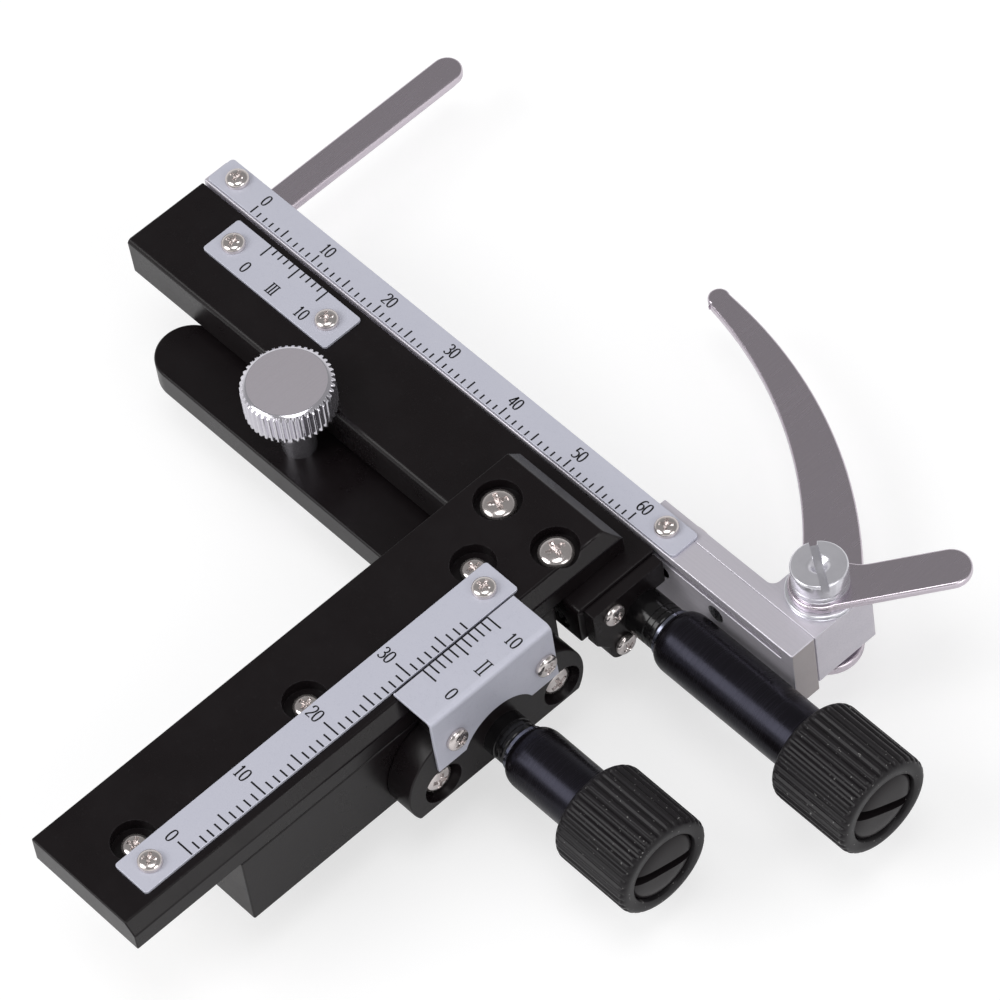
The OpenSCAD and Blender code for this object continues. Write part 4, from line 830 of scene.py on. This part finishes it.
@dataclass
class KnobDrive:
    """One drive's turned parts along +X: bushing, washer, sleeve, grooved knob and cap."""

    shop: Workshop
    prefix: str
    body: str
    bush_body: str
    axis: tuple[float, float]
    bush: tuple[float, float]
    knob_x: float
    knob_l: float
    cap_spin: float
    spigot: float = 0.0
    knob_r: float = 6.0
    groove: float = 0.3
    grooves: int = 36
    sleeve_r: float = 3.65
    bush_r: float = 2.625
    shaft_r: float = 1.3
    cap_r: float = 4.15
    sink: float = 2.2

    def build(self) -> None:
        """Builds the five pieces."""
        self._bushing()
        self._washer()
        self._sleeve()
        self._knob()
        self._cap()

    def _make(self, name: str, node: str, x: float, shells: Sequence[Shell], finish: Finish,
              body: str | None = None, spin: float = 0.0, sharp_deg: float = 32.0) -> None:
        """Places shells on the axis at x, along +X, as the piece that stands for one node."""
        placed = [shell.placed((x, *self.axis), Facing.ALONG_X, spin) for shell in shells]
        self.shop.piece(f"{self.prefix}_{name}", placed, finish, body or self.body,
                        (f"{self.prefix}_{node}",), sharp_deg)

    def _bushing(self) -> None:
        """Tube with a rounded mouth, two turned rings, and the X drive's inner spigot."""
        length, r, bore = self.bush[1] - self.bush[0], self.bush_r, self.shaft_r + 0.05
        mouth = length - 0.35
        outside = [(r, 0.0), (r, mouth - 1.3), (r - 0.12, mouth - 1.22), (r - 0.12, mouth - 1.02),
                   (r, mouth - 0.94), (r, mouth - 0.5), (r - 0.1, mouth - 0.44),
                   (r - 0.1, mouth - 0.3), (r, mouth - 0.24), *rounded(r, mouth, r - 0.35, length, 4)]
        inside = [(bore + 0.12, length), (bore, length - 0.12)]
        if self.spigot:
            profile = [(bore, -self.spigot), (1.8, -self.spigot), (1.8, 0.0), *outside, *inside]
        else:
            profile = [(bore, 0.0), *outside, *inside]
        self._make("bushing_turned", "bushing", self.bush[0], [lathe(profile, 64, closed=True)],
                   BUSH, self.bush_body)

    def _washer(self) -> None:
        """Thin ring with broken edges."""
        r, t = self.bush_r + 0.2, 0.46
        profile = [(self.shaft_r, 0.0), (r - 0.06, 0.0), (r, 0.06), (r, t - 0.06), (r - 0.06, t),
                   (self.shaft_r, t)]
        self._make("washer_turned", "washer", self.bush[1] + 0.02,
                   [lathe(profile, 64, closed=True)], RING)

    def _sleeve(self) -> None:
        """Tube from the washer to the knob, its near shoulder a quarter ellipse."""
        x0 = self.bush[1] + 0.5
        length, r = self.knob_x - x0, self.sleeve_r
        shoulder = hollowed(r - 0.99, 0.0, r, 1.8, 8)[1:]
        profile = [(self.shaft_r, 0.0), (r - 1.15, 0.0), *shoulder, (r, length - 0.25),
                   (r - 0.1, length - 0.12), (r - 0.1, length), (self.shaft_r, length)]
        self._make("sleeve_turned", "sleeve", x0, [lathe(profile, 96, closed=True)], SLEEVE)

    def _knob(self) -> None:
        """Knob whose radius is the least of its profile and a wave of flat ribs and grooves.

        The wave is the knob's radius less the groove's depth times a smooth step of the
        cosine of the groove count times the angle.
        """
        length, r = self.knob_l, self.knob_r
        back = hollowed(r - 1.15, 0.0, r, 1.15, 7)
        front = rounded(r, length - 0.8, r - 0.8, length, 6)
        pocket = self.cap_r + 0.12
        profile = [(self.shaft_r, 0.0), *back, *front, (pocket + 0.1, length),
                   (pocket, length - 0.1), (pocket, length - self.sink),
                   (self.shaft_r, length - self.sink)]

        def ribs(radius: Array, turn: Array, _: Array) -> Array:
            """Least of the profile's radius and the grooved wave, on the outside only."""
            wave = np.clip(0.5 + 0.95 * np.cos(turn * self.grooves), 0, 1)
            wave = wave * wave * (3 - 2 * wave)
            cut = r - self.groove * (1 - wave)
            return np.where(radius > pocket + 0.15, np.minimum(radius, cut), radius)

        shell = lathe(profile, self.grooves * 10, ribs, closed=True)
        self._make("knob_grooved", "knob", self.knob_x, [shell], KNOB, spin=5.0, sharp_deg=50.0)

    def _cap(self) -> None:
        """Domed disc cut by a slot, and its shank: z = dome of the radius less the slot."""
        slot, r, flat = 0.58, self.cap_r, self.sink - 0.7

        def top(x: Array, y: Array) -> Array:
            """Shallow dome with a rounded rim; inside the slot a level floor."""
            q = np.minimum((x ** 2 + y ** 2) / r ** 2, 1.0)
            dome = flat + 0.73 * np.sqrt(1 - q ** 2)
            return np.where(np.abs(x) < slot, self.sink - 1.35, dome)

        disc = sliced_disc(r, 0.0, top, slot)
        shank = lathe([(0, -3.0), (0.8, -3.0), (0.9, -2.9), (0.9, 0.01), (0, 0.01)], 32)
        self._make("cap_slotted", "cap_screw", self.knob_x + self.knob_l - self.sink,
                   [disc, shank], CAP, spin=self.cap_spin, sharp_deg=40.0)


# ------------------------------------------------------------------ clamp and pivot

@dataclass
class ClampThumbscrew:
    """Chromed thumbscrew: straight-knurled head, neck, shoulder and threaded stud."""

    shop: Workshop
    head_z: float = 10.95
    head_r: float = 5.15
    head_h: float = 4.05
    knurls: int = 44
    knurl_depth: float = 0.34
    neck_r: float = 2.15
    arm_t: float = 3.7
    stud_r: float = 1.5
    stud_l: float = 6.0
    pitch: float = 0.5

    def build(self) -> None:
        """Head, neck and shoulder are one turned surface, the stud a threaded one.

        The knurl is the least of the profile and a triangle wave of the angle. The thread's
        radius is the stud's less a triangle wave of height over pitch less turns.
        """
        z, r, h = self.head_z, self.head_r, self.head_h
        foot = self.neck_r - 0.25
        profile = [(0, 0.5), (1.8, 0.5), (1.8, self.arm_t), (foot, self.arm_t),
                   (self.neck_r, z - 2.2), (self.neck_r, z - 0.5),
                   *hollowed(self.neck_r, z - 0.5, 2.8, z, 4),
                   (r - 0.16, z), (r - 0.05, z + 0.05), (r, z + 0.16), (r, z + 1.4), (r, z + 2.2),
                   (r, z + h - 0.45), (r - 0.1, z + h - 0.34), (r - 0.4, z + h - 0.17),
                   (r - 0.62, z + h - 0.04), (r - 0.74, z + h), (r - 2.4, z + h), (0, z + h)]

        def knurl(radius: Array, turn: Array, height: Array) -> Array:
            """Least of the profile's radius and a wave of flat-topped ribs."""
            wave = np.clip(0.5 + 0.9 * np.cos(turn * self.knurls), 0, 1)
            cut = r - self.knurl_depth * (1 - wave)
            return np.where(height > z - 0.01, np.minimum(radius, cut), radius)

        head = lathe(profile, self.knurls * 10, knurl)
        rows = np.linspace(-self.stud_l, 0.0, 97)
        stud = [(0, -self.stud_l - 0.5), (self.stud_r - 0.5, -self.stud_l - 0.5)]
        stud += [(self.stud_r, zz) for zz in rows] + [(1.2, 0.02), (1.2, 0.5), (0, 0.5)]

        def thread(radius: Array, turn: Array, height: Array) -> Array:
            """Radius less a triangle wave that climbs one pitch in a turn."""
            wave = np.abs(((height / self.pitch - turn / TAU) % 1.0) - 0.5) * 2
            deep = 0.28 * np.clip(1.25 * wave - 0.12, 0, 1)
            lead = np.clip((height + self.stud_l) / 0.4, 0, 1)
            threaded = (radius > 1.25) & (height < -0.005)
            return np.where(threaded, radius - deep * lead - 0.3 * (1 - lead), radius)

        self.shop.piece("clamp_thumbscrew", [head, lathe(stud, 48, thread)], CHROME,
                        "clamp_screw", ("clamp_screw",), sharp_deg=28.0)
        under, over = z + h - 0.1, z + h + 0.006
        face = [(0, under), (r - 0.78, under), (r - 0.76, over), (0, over)]
        self.shop.piece("clamp_thumbscrew_face", [lathe(face, 96)], FACED, "clamp_screw")


@dataclass
class FingerPivot:
    """Slotted pivot screw with a coned centre, on its bright collar."""

    shop: Workshop
    x: float = 58.3
    y: float = 21.95
    seat_z: float = 12.25
    head_r: float = 3.075
    head_h: float = 3.15

    def build(self) -> None:
        """Builds the screw's slotted upper part, its turned lower part and the collar."""
        slot, r, h = 0.42, self.head_r, self.head_h

        def top(x: Array, y: Array) -> Array:
            """Flat with a rounded rim, a cone in the middle, and the slot's level floor."""
            q = np.hypot(x, y)
            face = h - 0.22 * np.clip((q - (r - 0.25)) / 0.25, 0, 1) ** 2
            cone = h - 1.0 * np.clip(1 - q / 1.15, 0, 1) ** 0.8
            floor = np.full_like(q, h - 0.95)
            return np.where(np.abs(x) < slot, np.minimum(floor, cone), np.minimum(face, cone))

        upper = sliced_disc(r, 1.2, top, slot)
        body = [(0, -3.8), (0.65, -3.8), (0.8, -3.65), (0.8, 0.0), (r - 0.05, 0.0), (r, 0.05),
                (r, 0.3), (r - 0.16, 0.36), (r - 0.16, 0.52), (r, 0.58), (r, 0.98),
                (r - 0.1, 1.03), (r - 0.1, 1.12), (r, 1.19), (0, 1.2)]
        at = (self.x, self.y, self.seat_z)
        self.shop.piece("pivot_screw_turned",
                        [upper.placed(at, spin=58.0), lathe(body, 96).placed(at)], TURNED,
                        "spring_finger", ("pivot_screw",), sharp_deg=30.0)
        ring = [(1.45, 0.0), (3.84, 0.0), (3.9, 0.06), (3.9, 0.2), (3.78, 0.26), (3.78, 0.34),
                (3.9, 0.4), *rounded(3.9, 0.5, 3.7, 0.7, 4), (1.45, 0.7)]
        self.shop.piece("pivot_collar_turned",
                        [lathe(ring, 96, closed=True).placed((self.x, self.y, 10.5))], TURNED_COLLAR,
                        "x_slide", ("pivot_collar",))
        shaft = [(0, 0.6), (1.25, 0.6), (1.4, 0.75), (1.4, 1.8), (2.5, 1.8), (2.6, 1.9), (2.6, 2.45),
                 (2.5, 2.55), (1.4, 2.55), (1.4, 12.25), (0.8, 12.25), (0.8, 8.25), (0, 8.25)]
        self.shop.piece("pivot_shaft_turned", [lathe(shaft, 48).placed((self.x, self.y, 0.0))],
                        TURNED, "spring_finger", ("pivot_shaft",))


# ------------------------------------------------------------------ print on the scales

class Glyph(Enum):
    """Strokes of each numeral in a box 0.6 wide and 1 high. A stroke is (curved, points)."""

    D0 = ((True, ((0.30, 1.0), (0.12, 0.88), (0.05, 0.5), (0.12, 0.12), (0.30, 0.0), (0.48, 0.12),
                  (0.55, 0.5), (0.48, 0.88), (0.30, 1.0))),)
    D1 = ((True, ((0.12, 0.82), (0.24, 0.88), (0.32, 1.0))), (False, ((0.32, 1.0), (0.32, 0.0))),
          (False, ((0.14, 0.015), (0.50, 0.015))))
    D2 = ((True, ((0.05, 0.74), (0.11, 0.93), (0.30, 1.0), (0.49, 0.91), (0.53, 0.72), (0.42, 0.47),
                  (0.22, 0.24), (0.04, 0.02))), (False, ((0.04, 0.02), (0.56, 0.02))))
    D3 = ((True, ((0.06, 0.84), (0.18, 0.98), (0.38, 0.97), (0.50, 0.80), (0.42, 0.60), (0.23, 0.53))),
          (True, ((0.23, 0.53), (0.45, 0.47), (0.55, 0.27), (0.46, 0.07), (0.24, 0.0), (0.04, 0.11))))
    D4 = ((False, ((0.43, 0.0), (0.43, 1.0))), (False, ((0.43, 1.0), (0.02, 0.29))),
          (False, ((0.02, 0.29), (0.60, 0.29))))
    D5 = ((False, ((0.52, 0.98), (0.14, 0.98))), (False, ((0.14, 0.98), (0.09, 0.56))),
          (True, ((0.09, 0.56), (0.28, 0.62), (0.49, 0.52), (0.55, 0.30), (0.45, 0.07), (0.24, 0.0),
                  (0.04, 0.10))))
    D6 = ((True, ((0.51, 0.94), (0.34, 0.99), (0.15, 0.82), (0.06, 0.48), (0.09, 0.17), (0.29, 0.0),
                  (0.48, 0.10), (0.55, 0.31), (0.46, 0.51), (0.28, 0.57), (0.12, 0.47), (0.07, 0.36))),)
    BAR = ((False, ((0.16, 0.0), (0.16, 1.0))), (False, ((0.0, 0.015), (0.32, 0.015))),
           (False, ((0.0, 0.985), (0.32, 0.985))))


@dataclass
class PrintedPlate:
    """The print of one plate: ticks and numerals as thin raised ink on the plate's top."""

    shop: Workshop
    name: str
    body: str
    top_z: float
    ink: float = 0.012
    sunk: float = 0.01
    tick_w: float = 0.2
    pen: float = 0.1
    squeeze: float = 0.86
    shells: list[Shell] = field(default_factory=list)

    def _draw(self, path: Array, half: Array) -> None:
        """Adds a band of ink along a path."""
        self.shells.append(ribbon(path, half, self.top_z - self.sunk, self.top_z + self.ink))

    def line(self, start: Pair, end: Pair, width: float | None = None) -> None:
        """Adds a straight line of ink."""
        self._draw(np.array([start, end], float), np.full(2, (width or self.tick_w) / 2))

    def ticks(self, places: Sequence[float], start: float, ends: dict[int, float],
              along_x: bool) -> None:
        """Adds a row of divisions.

        Args:
            places: Where each division is, counted from 0.
            start: Where every division starts.
            ends: Where the divisions end whose count is a multiple of the key.
            along_x: True if the lines run along X, False if along Y.
        """
        for i, place in enumerate(places):
            end = ends[max(n for n in ends if i % n == 0)]
            points = ((start, place), (end, place)) if along_x else ((place, start), (place, end))
            self.line(*points)

    def label(self, text: str, centre: Pair, height: float) -> None:
        """Adds numerals read along +X; upright strokes are thicker than level ones.

        Args:
            text: Digits, or I for the bars of a roman numeral.
            centre: Middle of the text.
            height: Height of the digits.
        """
        widths = [0.335 if c == "I" else 0.66 for c in text]
        x = -sum(widths) / 2
        for c, advance in zip(text, widths):
            glyph = Glyph.BAR if c == "I" else Glyph["D" + c]
            for curved, points in glyph.value:
                path = smooth_path(points) if curved else np.array(points, float)
                path = (path + [x, -0.5]) * [height * self.squeeze, height] + np.array(centre)
                step = np.gradient(path, axis=0)
                steep = np.abs(step[:, 1]) / np.maximum(np.linalg.norm(step, axis=1), TINY)
                self._draw(path, self.pen * (0.55 + 0.45 * steep))
            x += advance

    def build(self) -> None:
        """Makes the ink piece."""
        self.shop.piece(self.name, self.shells, INK, self.body)


@dataclass
class ScalePrints:
    """Divisions and numerals of the two scales and their verniers."""

    shop: Workshop
    x_zero: float = -22.8
    y_zero: float = -46.125

    def build(self) -> None:
        """Prints the four plates."""
        self._x_scale()
        self._x_vernier()
        self._y_scale()
        self._y_vernier()

    def _x_scale(self) -> None:
        """0 to 60 along the bar, numerals beyond the ticks."""
        ink = PrintedPlate(self.shop, "x_scale_print", "x_slide", 10.9)
        ink.ticks([self.x_zero + u for u in range(61)], 14.28, {5: 14.1 + 1.35, 1: 14.1 + 0.9}, False)
        for u in range(0, 61, 10):
            ink.label(str(u), (self.x_zero + u + (0.25 if u else 0.2), 16.55), 1.42)
        ink.build()

    def _x_vernier(self) -> None:
        """Ten divisions over about nine millimetres, and the mark III."""
        ink = PrintedPlate(self.shop, "x_vernier_print", "y_carriage", 10.8)
        ink.ticks(np.linspace(-17.6, -8.5, 11), 12.8, {5: 12.8 - 1.7, 1: 12.8 - 0.8}, False)
        for text, x in (("0", -17.57), ("III", -13.17), ("10", -8.42)):
            ink.label(text, (x, 8.95), 1.42)
        ink.build()

    def _y_scale(self) -> None:
        """0 to 38 along the plate, numerals at the left ends of the ticks."""
        ink = PrintedPlate(self.shop, "y_scale_print", "y_carriage", 14.4)
        ink.ticks([self.y_zero + u for u in range(39)], 37.2,
                  {10: 37.2 - 2.25, 5: 37.2 - 1.75, 1: 37.2 - 1.15}, True)
        for u in range(0, 39, 10):
            ink.label(str(u), (33.55 if u else 34.0, self.y_zero + u + 0.1), 1.5)
        ink.build()

    def _y_vernier(self) -> None:
        """Ten divisions over about nine millimetres, the edge line, and the mark II."""
        ink = PrintedPlate(self.shop, "y_vernier_print", "base", 14.5)
        ink.ticks(np.linspace(-14.8, -5.75, 11), 37.72, {5: 37.72 + 2.0, 1: 37.72 + 1.5}, True)
        ink.line((37.68, -18.7), (37.68, -5.7), 0.08)
        for text, x, y in (("0", 42.05, -14.75), ("II", 42.05, -10.3), ("10", 41.85, -5.9)):
            ink.label(text, (x, y), 1.9 if text == "II" else 1.5)
        ink.build()


# ------------------------------------------------------------------ sub-assemblies

@dataclass
class BlackBlocks:
    """Painted blocks and plates: guide block, arm, flange, Y plate, X body and end plate."""

    shop: Workshop

    def build(self) -> None:
        """Rounds the edges of each painted block."""
        for node, body, width, shortest in (
                ("guide_block", "base", 0.2, 0.6), ("clamp_arm", "base", 0.3, 0.4),
                ("y_flange", "base", 0.18, 0.4), ("y_plate", "y_carriage", 0.16, 0.6),
                ("x_body", "y_carriage", 0.2, 0.6), ("x_end_plate", "y_carriage", 0.12, 0.4)):
            self.shop.rounded_copy(node, PAINT, body, width, shortest=shortest,
                                   split=node == "y_flange")
        self.shop.rounded_copy("bushing_set_screw", BUSH, "y_carriage", 0.06, 2)


@dataclass
class SlideBar:
    """Bright bar, its bracket and rail, and the hidden bearings and racks."""

    shop: Workshop

    def build(self) -> None:
        """Rounds the bar and bracket, and dresses the mechanism behind them."""
        # The bar's end faces are darkened by painted shade in its finish.
        self.shop.rounded_copy("slide_bar", BAR_SHADED_ENDS, "x_slide", 0.16, shortest=0.6)
        self.shop.rounded_copy("finger_bracket", BAR, "x_slide", 0.1, shortest=0.6)
        for node, width in (("y_slider", 0.12), ("x_guide_rail", 0.06), ("x_tail_bearing", 0.12)):
            self.shop.rounded_copy(node, BAR, "y_carriage", width, 2)
        for node, finish in (("x_rack", BRASS), ("y_rack", BRASS), ("torsion_spring", SHAFT),
                             ("bracket_dowel", SHAFT), ("locating_pin", TURNED),
                             ("y_pinion_shaft", SHAFT), ("x_screw_shaft", SHAFT)):
            self.shop.dress(node, finish)


@dataclass
class ScalePlates:
    """Four blasted plates with broken edges."""

    shop: Workshop

    def build(self) -> None:
        """Rounds the plates' edges a little."""
        for node, body in (("x_scale_plate", "x_slide"), ("x_vernier_plate", "y_carriage"),
                           ("y_scale_plate", "y_carriage"), ("y_vernier_plate", "base")):
            self.shop.rounded_copy(node, SCALE, body, 0.08, 2)


@dataclass
class Fingers:
    """The fixed finger, and the sprung finger with its thumb lever."""

    shop: Workshop

    def build(self) -> None:
        """Rounds the pressed steel edges."""
        for node, body in (("fixed_finger", "x_slide"), ("finger_blade", "spring_finger"),
                           ("thumb_lever", "spring_finger")):
            self.shop.rounded_copy(node, FINGER, body, 0.3)


# ------------------------------------------------------------------ studio

def toward(azimuth: float, elevation: float) -> Vector:
    """Unit vector to a place at an azimuth from -Y, counter-clockwise, and an elevation."""
    a, e = math.radians(azimuth), math.radians(elevation)
    return Vector((math.sin(a) * math.cos(e), -math.cos(a) * math.cos(e), math.sin(e)))


@dataclass
class Studio:
    """Pale floor, soft lights, and the camera at the photograph's angle."""

    azimuth: float = 55.1987
    elevation: float = 53.7412
    roll: float = -9.8177
    target: tuple[float, float, float] = (23.772, 7.985, 8.0)
    distance: float = 723.326
    lens: float = 246.987
    floor_z: float = -7.2

    def build(self) -> None:
        """Builds floor, world, lights and camera."""
        self._view_settings()
        self._floor()
        self._world()
        self._lights()
        self._camera()

    @staticmethod
    def _view_settings() -> None:
        """Plain display of colours."""
        bpy.context.scene.view_settings.view_transform = "Standard"

    def _floor(self) -> None:
        """Wide pale floor that keeps the object's shadow and reads white to the camera."""
        mesh = bpy.data.meshes.new("floor")
        side, z = 6.0, self.floor_z * MM
        mirror_share, glow_share, paper_share = 0.3, 0.25, 0.5
        mesh.from_pydata([(-side, -side, z), (side, -side, z), (side, side, z), (-side, side, z)],
                         [], [(0, 1, 2, 3)])
        floor = linked("floor", mesh)
        material = bpy.data.materials.new("pale_floor")
        w = Wiring.fresh(material)
        matt = w.add("ShaderNodeBsdfDiffuse")
        matt.inputs["Color"].default_value = (0.86, 0.86, 0.865, 1.0)
        glow = w.add("ShaderNodeEmission")
        seen = w.add("ShaderNodeLightPath")
        mirrored = w.times(seen.outputs["Is Glossy Ray"], mirror_share)
        rays = w.math("MAXIMUM", seen.outputs["Is Camera Ray"],
                      w.math("MAXIMUM", mirrored, seen.outputs["Is Transmission Ray"]))
        w.join(w.times(rays, glow_share), glow.inputs["Strength"])
        both = w.add("ShaderNodeAddShader")
        w.join(matt.outputs[0], both.inputs[0])
        w.join(glow.outputs[0], both.inputs[1])
        out = w.add("ShaderNodeOutputMaterial")
        paper = w.add("ShaderNodeEmission")
        faint = w.add("ShaderNodeMixShader")
        w.join(w.times(seen.outputs["Is Camera Ray"], paper_share), faint.inputs[0])
        w.join(both.outputs[0], faint.inputs[1])
        w.join(paper.outputs[0], faint.inputs[2])
        w.join(faint.outputs[0], out.inputs["Surface"])
        mesh.materials.append(material)

    @staticmethod
    def _world() -> None:
        """White to the camera; to shiny surfaces pale near the horizon and dim overhead."""
        low, high, near_horizon, overhead, diffuse_share = 0.12, 0.62, 0.85, 0.26, 0.42
        world = bpy.data.worlds.new("studio")
        bpy.context.scene.world = world
        w = Wiring.fresh(world)
        back = w.add("ShaderNodeBackground")
        back.inputs["Color"].default_value = (1.0, 1.0, 1.0, 1.0)
        seen = w.add("ShaderNodeLightPath")
        up = w.add("ShaderNodeSeparateXYZ")
        w.join(w.add("ShaderNodeTexCoord").outputs["Generated"], up.inputs[0])
        room = w.remap(up.outputs["Z"], low, high, near_horizon, overhead)
        shine = w.times(seen.outputs["Is Glossy Ray"], room)
        plain = w.math("MAXIMUM", seen.outputs["Is Camera Ray"], seen.outputs["Is Transmission Ray"])
        soft = w.times(seen.outputs["Is Diffuse Ray"], diffuse_share)
        w.join(w.math("MAXIMUM", plain, w.math("MAXIMUM", shine, soft)), back.inputs["Strength"])
        out = w.add("ShaderNodeOutputWorld")
        w.join(back.outputs[0], out.inputs["Surface"])

    def _lights(self) -> None:
        """Three big soft boxes, none of them where a level face mirrors the camera."""
        middle = Vector(self.target) * MM
        for name, az, el, far, size, power in (("key", 335.0, 42.0, 1.1, 0.75, 5.5),
                                               ("fill", 95.0, 35.0, 1.2, 0.7, 3.0),
                                               ("top", 60.0, 82.0, 1.2, 0.6, 3.0)):
            data = bpy.data.lights.new(name, "AREA")
            data.shape = "DISK"
            data.size = size
            data.energy = power
            lamp = linked(name, data)
            back = toward(az, el)
            lamp.location = middle + back * far
            lamp.rotation_euler = (-back).to_track_quat("-Z", "Y").to_euler()

    def _camera(self) -> None:
        """Camera at the solved azimuth, elevation and roll, aimed at the target."""
        r = math.radians(self.roll)
        forward = -toward(self.azimuth, self.elevation)
        level = forward.cross(Vector((0, 0, 1))).normalized()
        up = level.cross(forward)
        right = level * math.cos(r) + up * math.sin(r)
        upward = right.cross(forward)
        data = bpy.data.cameras.new("camera")
        data.sensor_width = 36.0
        data.lens = self.lens
        data.clip_start, data.clip_end = 0.05, 20.0
        camera = linked("camera", data)
        place = Matrix((right, upward, -forward)).transposed().to_4x4()
        place.translation = Vector(self.target) * MM - forward * self.distance * MM
        camera.matrix_world = place
        bpy.context.scene.camera = camera


def main() -> None:
    """Loads the frame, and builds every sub-assembly in order."""
    logging.basicConfig(level=logging.INFO, format="%(message)s")
    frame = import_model()
    Studio().build()
    shop = Workshop(frame)
    BlackBlocks(shop).build()
    SlideBar(shop).build()
    ScalePlates(shop).build()
    Fingers(shop).build()
    KnobDrive(shop, "y", "y_drive", "base", axis=(-10.0, 3.5), bush=(39.45, 46.0), knob_x=56.8,
              knob_l=10.7, cap_spin=71.5).build()
    KnobDrive(shop, "x", "x_drive", "y_carriage", axis=(10.0, 4.8), bush=(41.7, 47.4),
              knob_x=68.2, knob_l=11.06, cap_spin=60.5, spigot=5.0).build()
    ScrewSet(shop).build()
    ClampThumbscrew(shop).build()
    FingerPivot(shop).build()
    ScalePrints(shop).build()
    LOG.info("%d pieces made or dressed", len(shop.made))


if __name__ == "__main__":
    main()
